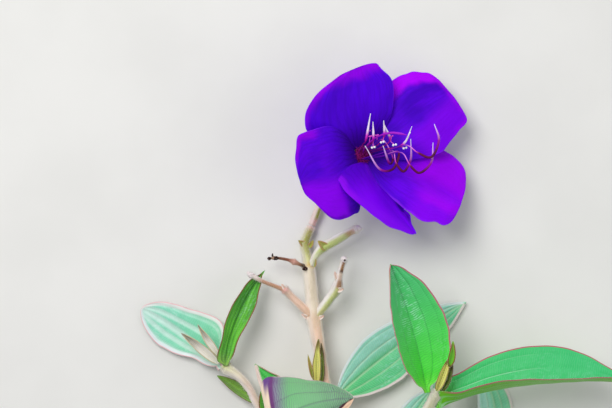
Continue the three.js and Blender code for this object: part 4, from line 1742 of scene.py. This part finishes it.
LEAVES = (
    Leaf(
        Blade(
            "leaf_upright", [(56, -87.6, 27), (51, -57, 24), (38.3, -27.3, 44)], 36, 0.52, 1.35, (52, 76),
            (8, 22), stalk=0.04,
            swells=[(-1, 0.2, 5.8, 0.3), (1, 0.72, -2.8, 0.25), (1, 0.15, 2.2, 0.15), (1, 0.9, -1, 0.06)],
        ),
        LeafLook.BRIGHT, "leaf", 11, 0.25,
    ),
    Leaf(
        Blade(
            "leaf_spread", [(61, -95.5, 24.6), (72, -87, 27), (108, -80.6, 28), (150.8, -79.6, 24)], 35, 0.5,
            1.35, (-20, -12), (94, 104), stalk=0.03, sway=3,
            swells=[(-1, 0.92, -3, 0.16), (-1, 0.06, 4.6, 0.08)],
            shifts=[(1, 0.28, -3.2, 0.3), (1, 0.03, -5.5, 0.07), (1, 0.85, -0.8, 0.15)],
        ),
        LeafLook.COOL, "leaf", 12, 0.25,
    ),
    Leaf(
        Blade(
            "leaf_low_right", [(12.4, -93, 11), (42.7, -66.4, -3), (76.4, -46.8, 2)], 24, 0.42, 1.64,
            (14, 4), (10, 2), stalk=0.05,
            swells=[(1, 0.4, 1.4, 0.15), (1, 0.85, 1, 0.1), (1, 0.2, 0.8, 0.15), (-1, 0.4, 0.9, 0.15)],
        ),
        LeafLook.TEAL, "teal_leaf", 13,
    ),
    Leaf(
        Blade(
            "leaf_low_left", [(6.4, -93, 12), (-10, -84, 7), (-24.2, -76, 6)], 22, 0.4, 1.6, (8, 12),
            (76, 84), stalk=0.06,
            swells=[
                (1, 0.72, -5.0, 0.22), (1, 0.64, -1.6, 0.14), (-1, 0.85, 0.8, 0.15), (-1, 0.56, 3.4, 0.2)
            ],
        ),
        LeafLook.PALE_EDGED, "leaf", 14, 0.2,
    ),
    Leaf(
        Blade(
            "leaf_front", [(-5, -112.4, 12.5), (-29, -114, 34), (-14, -88, 50), (21.8, -89.8, 30)], 38, 0.5,
            1.3, (-30, -66), (-10, -25), up=(-0.2, -1, 0), halves=(1, 0.8), stalk=0.06, twist=24,
            swells=[
                (-1, 0.31, -4.5, 0.14), (-1, 0.64, 1.5, 0.07), (-1, 0.78, -2, 0.09), (-1, 0.94, 0.7, 0.07)
            ],
            shifts=[(-1, 0.49, 7.5, 0.1), (-1, 0.36, -5.5, 0.12), (-1, 0.8, 2, 0.2)],
        ),
        LeafLook.PLUM, "plum_leaf", 15, 0.3,
    ),
    Leaf(
        Blade(
            "leaf_floor", [(16.6, -131, 9.4), (34, -144, 0), (59.2, -168, 2)], 30, 0.45, 1.5, (10, 2),
            (10, 2), stalk=0.06,
        ),
        LeafLook.BRIGHT, "leaf", 16,
    ),
    Leaf(
        Blade(
            "leaf_curved_right", [(41.6, -116, 14.6), (70, -128, 4), (107, -111, 0.8), (81.5, -79.1, 3)], 19,
            0.5, 1.4, (6, 0), (12, 4), stalk=0.06, swells=[(-1, 0.85, 1.6, 0.15), (1, 0.85, 1.2, 0.15)],
        ),
        # the lighter teal finish, with painted light against leaf_spread's shadow
        LeafLook.BRIGHTENED_TEAL, "teal_leaf", 17,
    ),
    Leaf(
        Blade(
            "leaf_under_right", [(41.6, -111.6, 14.5), (53, -98, 7), (63, -82.7, 6)], 15, 0.45, 1.5, (10, 2),
            (10, 2), stalk=0.06, swells=[(-1, 0.8, -3, 0.25)],
        ),
        LeafLook.TEAL, "teal_leaf", 18, 0.3,
    ),
    Leaf(
        Blade(
            "leaf_pale", [(-40.4, -78, 7), (-57.4, -61.6, -2), (-78.6, -49.9, 2)], 23, 0.52, 1.3, (12, 0),
            (12, 0), stalk=0.04,
            swells=[
                (1, 0.28, 6.8, 0.17), (1, 0.49, 1.3, 0.12), (-1, 0.25, -2.6, 0.15), (-1, 0.42, -1.8, 0.22)
            ],
        ),
        LeafLook.MINT, "mint_leaf", 19, 0.4,
    ),
    Leaf(
        Blade(
            "leaf_narrow", [(-38, -76, 10.5), (-37.4, -62, 15), (-28.2, -41, 10), (-19.4, -31.4, 6)], 16,
            0.47, 1.75, (54, 50), (36, 46), stalk=0.04,
            swells=[
                (-1, 0.05, 5, 0.12), (1, 0.08, 1.6, 0.12), (-1, 0.93, -1.1, 0.05), (1, 0.93, -1.1, 0.05),
                (1, 0.32, -1.6, 0.18), (1, 0.8, -0.9, 0.1), (-1, 0.6, -0.9, 0.2),
            ],
        ),
        LeafLook.DEEP, "leaf", 20, 0.2,
    ),
    Leaf(
        Blade(
            "leaf_edge", [(-23.4, -95, 8.8), (-29, -89, 8), (-42.3, -81.6, 5.5)], 10, 0.45, 1.5, (-55, -60),
            (-55, -60), stalk=0.05, steps=70, columns=14,
        ),
        LeafLook.YOUNG_EDGE, "leaf", 21, 0.1,
    ),
    Leaf(
        Blade(
            "leaf_small", [(-18, -101, 11.5), (-20, -95, 15), (-21.1, -87.9, 14)], 5.5, 0.4, 1.6, (25, 30),
            (25, 30), stalk=0.05, foot=1.6, steps=50, columns=10,
        ),
        LeafLook.DEEP, "leaf", 22, 0.1,
    ),
)


@dataclass
class Leaves:
    """The grown leaves."""

    stalk_thick: float = 1.7

    def build(self) -> None:
        """Build every leaf."""
        for leaf in LEAVES:
            leaf.blade.stalk_thick = self.stalk_thick
            leaf.build()


# Each young leaf's name, rib, width, fold in degrees and finish
BUDS = (
    ("bud_mid_left", [(5.2, -86, 16.4), (4.6, -74, 19.4), (5.9, -63.4, 17)], 5.2, 40, LeafLook.BUD),
    ("bud_mid_right", [(7.2, -86, 16), (7.9, -74, 17), (7.1, -65.4, 15.6)], 3.6, 45, LeafLook.DEEP_BUD),
    ("bud_right_left", [(60.7, -86.2, 27.9), (62.6, -79, 34), (66.3, -70, 34)], 6, 48, LeafLook.BUD),
    (
        "bud_right_right", [(62.4, -86.8, 27.6), (66.6, -80, 31), (67.8, -72.6, 32.5)], 5.5, 50,
        LeafLook.DEEP_BUD,
    ),
    ("bud_right_inner", [(65.8, -74.5, 36), (67.4, -69, 38), (67.4, -62.9, 37)], 4, 36, LeafLook.FRESH_BUD),
    ("bud_left_long", [(-41.2, -75.4, 9.6), (-50, -67, 14.5), (-58.9, -60.7, 14)], 5.6, 38, LeafLook.SILKY),
    (
        "bud_left_short", [(-40.2, -72.4, 11.4), (-47, -63.6, 14.4), (-51.1, -56.6, 13)], 4.4, 38,
        LeafLook.SILKY,
    ),
)


@dataclass
class YoungLeaves:
    """The folded young leaves."""

    broad: float = 0.4
    full: float = 1.5
    spread: float = 8  # degrees more at the margins
    foot: float = 1.6

    def build(self) -> None:
        """Build every young leaf."""
        for seed, (name, rib, width, fold, look) in enumerate(BUDS, start=31):
            rise = (fold, fold + self.spread)
            blade = Blade(
                name, rib, width, self.broad, self.full, rise, rise, foot=self.foot, steps=60, columns=12
            )
            Leaf(blade, look, "bud", seed, 0.08, 0.25).build()


@dataclass
class Flower:
    """The bloom: hairy cup and disc, five petals, ten bent stamens and the style."""

    centre: Point = (26.1, 22.9, 22.4)
    faces: Point = (0.46, 0.17, 0.87)
    seat: float = 3.4  # how far out the petals' feet stand
    foot_height: float = 0.2
    belly: float = 0.85  # how high a petal's middle is, as a share of its tip
    roll: float = 12  # degrees by which its right half rises more, and its left half less
    cup: float = 6  # degrees by which both rise
    curl: float = -10  # degrees more at the margins
    disc_radius: float = 3.4
    disc_rise: float = 1.6
    cup_depth: float = 12.5
    cup_radius: float = 4.6
    cup_rim: float = -2.4
    cup_rows: int = 30
    cup_sides: int = 40
    cup_ribs: float = 0.025
    cup_hairs: int = 1500
    cup_seed: int = 71
    disc_rows: int = 16
    disc_sides: int = 32
    disc_hairs: int = 700
    disc_seed: int = 73

    def __post_init__(self) -> None:
        """Set up the flower's own frame."""
        axis = unit(np.array(self.faces, float))
        east = unit(np.array([1.0, 0, 0]) - axis * axis[0])
        self.basis = np.stack([east, np.cross(axis, east), axis])

    def turn(self, points: np.ndarray) -> np.ndarray:
        """Move points from the flower's frame to the drawing frame."""
        return points @ self.basis + np.array(self.centre)

    def polar(self, turn: float, out: float, high: float) -> Point:
        """A point of the flower's frame: round its axis in degrees, out from it and up it."""
        return (out * math.cos(math.radians(turn)), out * math.sin(math.radians(turn)), high)

    def build(self) -> None:
        """Build the bloom's pieces in order."""
        self.build_cup()
        self.build_disc()
        self.build_petals()
        Stamens(self).build()

    def build_petals(self) -> None:
        """Build the five petals."""
        for number, (blade, look) in enumerate(zip(self.petals(), PetalLook), start=1):
            skin = blade.skin(self.petal_relief(60 + number), self.turn)
            skin.build(f"{blade.name}_blade", materials(look), "petal", blade.name)

    def petals(self) -> list[Blade]:
        """The petals, clockwise from the upper left: each laps over the next.

        Returns:
            The blades, in the flower's frame.
        """
        return [
            self.petal(
                1, 117, 70, 40.5, 44, (1, 0.94), 0.6, 0.85, sway=6,
                swells=[
                    (-1, 0.66, 3.8, 0.24), (-1, 0.42, 2.2, 0.14), (-1, 0.96, -2.2, 0.05),
                    (1, 0.87, -2.2, 0.1), (1, 0.965, 0.8, 0.035),
                ],
            ),
            self.petal(
                2, 38.5, 72, 52.2, 42, (1, 1), 0.7, 1,
                swells=[
                    (1, 0.76, -3.4, 0.12), (1, 0.967, 1, 0.035), (1, 0.86, -1, 0.06), (-1, 0.9, -2.6, 0.08),
                    (-1, 0.77, -1.6, 0.06), (-1, 0.985, -1.2, 0.02),
                ],
            ),
            self.petal(3, -27, 72, 51.5, 45, (1, 0.86), 0.7, 1, swells=[(1, 0.83, -2.4, 0.06)]),
            self.petal(
                4, -55.3, 82, 44.5, 39, (0.2, 1), 0.24, 0.7, sunk=0.3, bend=5,
                swells=[
                    (1, 0.06, 2, 0.1), (1, 0.05, 3, 0.05), (1, 0.24, 1.8, 0.14), (1, 0.46, -2.2, 0.14),
                    (1, 0.64, -2, 0.16), (1, 0.86, -3.8, 0.16), (-1, 0.8, 1.6, 0.08), (-1, 0.5, 2.4, 0.25),
                ],
            ),
            self.petal(
                5, -151, 76, 43.5, 45, (1, 0.86), 0.55, 0.75, sway=1.2,
                swells=[
                    (1, 0.85, 4.2, 0.1), (1, 0.72, 1.1, 0.08), (1, 0.65, 1.3, 0.12), (1, 0.4, 1.2, 0.2),
                    (-1, 0.94, -5.4, 0.12), (-1, 0.25, 3.8, 0.11), (-1, 0.45, 0.9, 0.09),
                    (-1, 0.84, -1.8, 0.1),
                ],
            ),
        ]

    def petal(
        self, number: int, turn: float, lean: float, reach: float, width: float, halves: tuple[float, float],
        broad: float, full: float, sunk: float = 0.0, bend: float = 0.0, **more: Any,
    ) -> Blade:
        """One petal of the bloom.

        Args:
            number: Its number, clockwise from the upper left.
            turn: Which way it points round the flower, in degrees.
            lean: How far it leans out from the flower's axis, in degrees.
            reach: How far its tip is from the centre.
            width: Its width.
            halves: The shares of its two halves.
            broad: The share of its length where it is widest.
            full: How full its outline is.
            sunk: How much lower than the others its foot sits.
            bend: How far its middle is bent to the right.
            **more: What else the blade takes.

        Returns:
            The blade, in the flower's frame.
        """
        out, high = reach * math.sin(math.radians(lean)), reach * math.cos(math.radians(lean))
        low, rise = self.cup - self.roll, self.cup + self.roll
        rib = [
            self.polar(turn, self.seat, self.foot_height - sunk),
            tuple(np.add(self.polar(turn, out * 0.5, high * self.belly), self.polar(turn - 90, bend, 0))),
            self.polar(turn, out, high),
        ]
        return Blade(
            f"petal_{number}", rib, width, broad, full, (low, low + self.curl), (rise, rise + self.curl),
            halves=halves, foot=4.6, thick=0.35, steps=110, columns=30, tip=0.5, crease=0.25, eased=True,
            ragged=0.22, **more,
        )

    def petal_relief(self, seed: int) -> Relief:
        """The relief of a petal: soft folds from the foot and a lightly ruffled margin.

        Args:
            seed: Where its random waves come from.

        Returns:
            A function of the place on the petal.
        """
        broad, ruffle = Ripple(seed, 30, 0.45), Ripple(seed + 50, 10, 0.3)
        fold = Ripple(seed + 90, 0.5, 0.14)

        def height(u: np.ndarray, v: np.ndarray, along: np.ndarray, across: np.ndarray) -> np.ndarray:
            """Read the height.

            Args:
                u: Shares of the length.
                v: Shares of the half width.
                along: Millimetres along.
                across: Millimetres across.

            Returns:
                Millimetres.
            """
            brink = np.maximum(np.abs(v), smooth(u, 0.7, 1))
            folds = fold.at(np.broadcast_to(v, along.shape), np.zeros_like(along))
            total = broad.at(along, across) * 0.6 + ruffle.at(along, across) * brink**3 + folds
            return total * smooth(along, 2, 18)

        return height

    def build_cup(self) -> None:
        """Build the hairy cup behind the petals, with its five pointed lobes."""
        depth, radius = self.cup_depth, self.cup_radius
        corners = np.array(
            [
                (1.7, -depth), (radius * 0.45, -depth * 0.97), (radius * 0.72, -depth * 0.86),
                (radius * 0.95, -depth * 0.7), (radius, -depth * 0.55), (radius * 0.97, -depth * 0.35),
                (radius * 0.92, -depth * 0.2), (radius * 0.98, self.cup_rim),
            ]
        )
        share = np.linspace(0, 1, self.cup_rows)
        knots = np.linspace(0, 1, len(corners))
        out, high = np.interp(share, knots, corners[:, 0]), np.interp(share, knots, corners[:, 1])
        skin = Skin()
        rings = self.lathe(out, high, self.cup_sides, self.cup_ribs)
        skin.rings(rings, first_reads(rings, share[:, None]))
        rng = np.random.default_rng(self.cup_seed)
        ring = rng.integers(1, self.cup_rows - 1, self.cup_hairs)
        place = rng.integers(0, self.cup_sides, self.cup_hairs)
        middle = self.turn(np.stack([0 * high, 0 * high, high], -1))
        ways = unit(rings[ring, place] - middle[ring]) + self.basis[2] * 0.5
        Fuzz(low=0.8, high=1.8).grow(skin, rings[ring, place], ways, rng, 1)
        for i in range(5):
            turn = 10 + 72 * i
            places = ((radius - 1.2, -2), (radius + 4.8, -2), (radius + 10.8, -4.4))
            rib = [self.polar(turn, *at) for at in places]
            lobe = Blade("lobe", rib, 4, 0.35, 1.3, (8, 8), (8, 8), foot=2.6, steps=30, columns=8)
            join(skin, lobe.skin(leaf_relief(80 + i, 0.1), self.turn))
        skin.build("calyx_cup", materials(SmallLook.CUP, SmallLook.PINK_HAIR), "calyx", "calyx")

    def build_disc(self) -> None:
        """Build the hairy maroon disc at the bloom's centre."""
        share = np.linspace(0, 1, self.disc_rows)
        lift = np.clip(share * 1.15 - 0.15, 0, 1) * math.pi / 2
        out = self.disc_radius * np.cos(lift) + 0.02
        high = np.where(share < 0.13, -0.7 + share / 0.13 * 0.7, self.disc_rise * np.sin(lift))
        rings = self.lathe(out, high, self.disc_sides, grain=Ripple(72, 0.8, 0.05))
        skin = Skin()
        skin.rings(rings, first_reads(rings, share[:, None]))
        rng = np.random.default_rng(self.disc_seed)
        ring = rng.integers(2, self.disc_rows - 1, self.disc_hairs)
        place = rng.integers(0, self.disc_sides, self.disc_hairs)
        ways = unit(rings[ring, place] - self.turn(np.array([0, 0, -2.0]))) + self.basis[2] * 0.3
        Fuzz(thick=0.16, low=0.8, high=2.8, droop=0.3).grow(skin, rings[ring, place], ways, rng, 1)
        looks = materials(SmallLook.DISC, SmallLook.DISC_HAIR)
        skin.build("flower_disc_cushion", looks, "disc", "flower_disc")

    def lathe(
        self, out: np.ndarray, high: np.ndarray, sides: int, ribs: float = 0.0, grain: Ripple | None = None
    ) -> np.ndarray:
        """Turn a profile round the flower's axis.

        Args:
            out: How far out each of its places is.
            high: How high it is.
            sides: How many places go round.
            ribs: The height of ten faint ribs, as a share.
            grain: Small lumps, if there are any.

        Returns:
            Points of the drawing frame, ring by ring.
        """
        turns = np.arange(sides) / sides * 2 * math.pi
        reach = out[:, None] * (1 + ribs * np.cos(10 * turns))
        rings = np.stack(
            [reach * np.cos(turns), reach * np.sin(turns), np.repeat(high[:, None], sides, 1)], -1
        )
        if grain:
            rings = rings * (1 + grain.at(rings[..., 0], rings[..., 1])[..., None])
        return self.turn(rings)


@dataclass
class Thread:
    """A stamen or the style: a thin stalk up to its knee, and a thicker tapering length beyond."""

    name: str
    look: SmallLook
    path: Sequence[Point]
    knee: int = 0  # the number of the place it bends at
    stalk: float = 0.26  # the radii up to the knee, beyond it and at the end
    full: float = 0.58
    tip: float = 0.1
    steps: int = 12
    sides: int = 10

    def line(self, centre: np.ndarray, foot: np.ndarray) -> tuple[np.ndarray, np.ndarray, np.ndarray]:
        """Walk the thread.

        Args:
            centre: The flower's centre, which the path is told from.
            foot: Where the thread stands.

        Returns:
            Its places, directions and the place of each in the thread's own span, whose knee is at 0.5.
        """
        places = [tuple(foot) + (1.0,), *((*(centre + np.array(p)), 1.0) for p in self.path)]
        centres, ways, _ = string(places, self.steps)
        knee = (self.knee or len(places) - 1) * self.steps
        span = np.interp(np.arange(len(centres)), (0, knee, len(centres)), (0, 0.5 if self.knee else 1, 1))
        return centres, ways, span

    def build(self, centre: np.ndarray, foot: np.ndarray) -> None:
        """Build the thread.

        Args:
            centre: The flower's centre.
            foot: Where the thread stands.
        """
        centres, ways, span = self.line(centre, foot)
        radii = self.stalk + (self.full - self.stalk) * smooth(span, 0.46, 0.56)
        thinning = 0.66 if self.look is SmallLook.UPRIGHT else 0.8
        radii = radii - (radii - self.tip) * smooth(span, thinning, 1.03)
        around, _ = spokes(*carry(ways, (0, 0, 1)), self.sides)
        rings = centres[:, None] + around * radii[:, None, None]
        skin = Skin()
        skin.rings(rings, first_reads(rings, span[:, None]))
        skin.build(f"{self.name}_thread", materials(self.look), "stamen", self.name)


UPRIGHT, LOOPED = SmallLook.UPRIGHT, SmallLook.LOOPED
THREADS = (
    Thread("stamen_1", UPRIGHT, [(0.3, 4.8, 7), (1.3, 6, 11), (3.5, 18.6, 15)], 2),
    Thread("stamen_2", UPRIGHT, [(3.4, 4.6, 9.4), (4.7, 6, 12), (4.6, 14.8, 15)], 2),
    Thread("stamen_3", UPRIGHT, [(6.4, 4, 10.6), (9.6, 7.9, 14), (9.4, 15.2, 18)], 2),
    Thread(
        "stamen_4", LOOPED, [(5, 4.4, 4.2), (9.2, 7, 5.6), (14.2, -2, 5), (12.7, -4.3, 8), (9.2, 3.8, 14.6)],
        3,
    ),
    Thread("stamen_5", UPRIGHT, [(8, 2.9, 9.4), (12.4, 6.2, 13), (9.9, 12.9, 18)], 2),
    Thread("stamen_6", UPRIGHT, [(9, 2.2, 7.4), (17, 3.6, 12.4), (19.6, 5.9, 15), (22.3, 12.6, 18)], 2),
    Thread(
        "stamen_7", LOOPED,
        [(9, -0.6, 4.6), (16.6, 1.2, 8), (14.2, -6.6, 8.6), (8.4, -7.2, 11), (1, 3.8, 14)], 2,
    ),
    Thread(
        "stamen_8", LOOPED, [
            (9, -1, 6.4), (14, 1.6, 10), (15.4, -4, 10.4), (18.8, -7.9, 10.5), (21.9, -3, 11.5),
            (21.8, 6.8, 17),
        ],
        3,
    ),
    Thread(
        "stamen_9", LOOPED,
        [(9, -0.8, 8.6), (18, 0.6, 13), (21.6, -5, 14), (25.8, -8.6, 14), (31.2, -4, 14.5), (32.1, 5.2, 16)],
        3,
    ),
    Thread(
        "stamen_10", LOOPED, [
            (9, 0.6, 10.4), (20, 4, 16.4), (25, 0.6, 17), (31, -1.5, 17.4), (34.6, 6.4, 17.6),
            (32.5, 13.6, 18),
        ],
        3,
    ),
    Thread(
        "style", SmallLook.STYLE,
        [(1.2, 3.2, 10), (6.4, 7.8, 16), (12.3, 9.5, 18.6), (16.6, 9.2, 19.4), (20, 8.5, 19.6)],
        stalk=0.34,
    ),
)


@dataclass
class Stamens:
    """The stamens and the style: slim threads that stand on the disc."""

    flower: Flower
    ring: float = 2.5
    start: float = 176  # degrees
    step: float = 32
    foot_rise: float = 0.8
    count: int = 10

    def foot(self, number: int) -> np.ndarray:
        """Find where a thread stands on the disc.

        Args:
            number: The thread's number, from 0; the style comes after the stamens.

        Returns:
            The place, in millimetres.
        """
        out = self.ring if number < self.count else 0
        at = self.flower.polar(self.start - number * self.step, out, self.foot_rise)
        return self.flower.turn(np.array([at], float))[0]

    def build(self) -> None:
        """Build the ten stamens, the style and the stamens' small lobes."""
        for number, thread in enumerate(THREADS):
            thread.build(np.array(self.flower.centre), self.foot(number))
        self.build_lobes()

    def build_lobes(self) -> None:
        """Build the lobes that hang at the stamens' knees: white pairs, and pink ones like a T."""
        centre = np.array(self.flower.centre)
        white = [
            ((4.7, 6, 12), (4.8, 3.1, 12.9)), ((9.6, 7.9, 14), (8.9, 5.5, 14.6)),
            ((12.4, 6.2, 13), (14.5, 4.2, 14.6)), ((17, 3.6, 12.4), (19.3, 2.8, 14)),
        ]
        pink = [
            ((3, 5.4, 11.6), (3.4, 8.2, 13.4)), ((6.6, 6.6, 12.6), (6.5, 8.7, 14)),
            ((12.8, 6, 13.4), (13.2, 8.2, 14.6)),
        ]
        skin = Skin()
        for look, size, pairs in ((0, 0.56, white), (1, 0.4, pink)):
            for knee, end in pairs:
                places = [(*(centre + np.array(p)), 0.18) for p in (knee, end)]
                tube(skin, places, 8, 1)
                for side in (-1, 1):
                    spot = centre + np.array(end) + np.array([side * size * 1.05, side * size * 0.25, 0.1])
                    knob(skin, spot, (size, size, size), 0, look, 11, 10)
        for spot, size, look in (((3.3, 10.8, 12), 0.36, 1), ((21.4, 9.7, 16.8), 0.42, 0)):
            knob(skin, centre + np.array(spot), (size, size, size), 0, look, 11, 10)
        skin.build("stamen_lobes", materials(SmallLook.BEAD, SmallLook.PINK_BEAD), "stamen")


@dataclass
class Studio:
    """The floor, the soft lights and the camera."""

    eye: Point = (0, 0, 900)
    lens: float = 110.7
    sensor: float = 36
    floor_half: float = 2.5  # metres
    floor_level: float = -0.0011
    sky: Colour = (0.95, 0.97, 1.0, 1)
    sky_strength: float = 0.32

    def build(self) -> None:
        """Build the stage and the camera."""
        half = self.floor_half
        mesh = bpy.data.meshes.new("floor")
        low = self.floor_level
        ends = [(-half, -half, low), (half, -half, low), (half, half, low), (-half, half, low)]
        mesh.from_pydata(ends, [], [(0, 1, 2, 3)])
        floor = bpy.data.objects.new("floor", mesh)
        paint = Paint("pale_floor", Roughness=0.8, Specular_IOR_Level=0.2)
        mottle = paint.fade(paint.noise(60, 3), 0.3, 0.7)
        mesh.materials.append(paint.done(paint.mix(mottle, colour("e9e8e4"), colour("eeede9"))))
        bpy.context.scene.collection.objects.link(floor)
        floor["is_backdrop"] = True
        self.light("key", (-0.45, 0.55, 1.1), 0.7, 11)
        self.light("fill", (0.9, -0.3, 0.8), 1.2, 2.5)
        self.light("back", (0.2, 1.2, 0.5), 1.0, 2)
        world = bpy.data.worlds.new("studio")
        world.use_nodes = True
        inputs = world.node_tree.nodes["Background"].inputs
        inputs["Color"].default_value, inputs["Strength"].default_value = self.sky, self.sky_strength
        bpy.context.scene.world = world
        bpy.context.scene.view_settings.view_transform = "Standard"
        data = bpy.data.cameras.new("camera")
        data.lens, data.sensor_width = self.lens, self.sensor
        camera = bpy.data.objects.new("camera", data)
        camera.location = to_frame(np.array(self.eye))
        bpy.context.scene.collection.objects.link(camera)
        bpy.context.scene.camera = camera

    def light(self, name: str, at: Point, size: float, power: float) -> None:
        """Hang one soft square light that looks at the sprig.

        Args:
            name: Its name.
            at: Where it hangs, in metres.
            size: The side of the square, in metres.
            power: Its power, in watts.
        """
        data = bpy.data.lights.new(name, "AREA")
        data.size, data.energy = size, power
        lamp = bpy.data.objects.new(name, data)
        lamp.location = at
        lamp.rotation_euler = lamp.location.to_track_quat("Z", "Y").to_euler()
        bpy.context.scene.collection.objects.link(lamp)


def corners(bounds: Any) -> list[list[float]]:
    """Two corners as plain lists of numbers."""
    return [list(map(float, corner)) for corner in bounds]


def main(solid_box: list[list[float]]) -> None:
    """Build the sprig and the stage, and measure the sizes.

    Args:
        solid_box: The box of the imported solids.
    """
    for part in (Stems(), Leaves(), YoungLeaves(), Flower(), Studio()):
        log.info("building %s", type(part).__name__)
        part.build()
    bpy.context.view_layer.update()
    {"cad": solid_box, "visual": corners(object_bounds())}


if __name__ == "__main__":
    logging.basicConfig(level=logging.INFO, format="%(message)s")
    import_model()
    main(corners(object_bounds()))
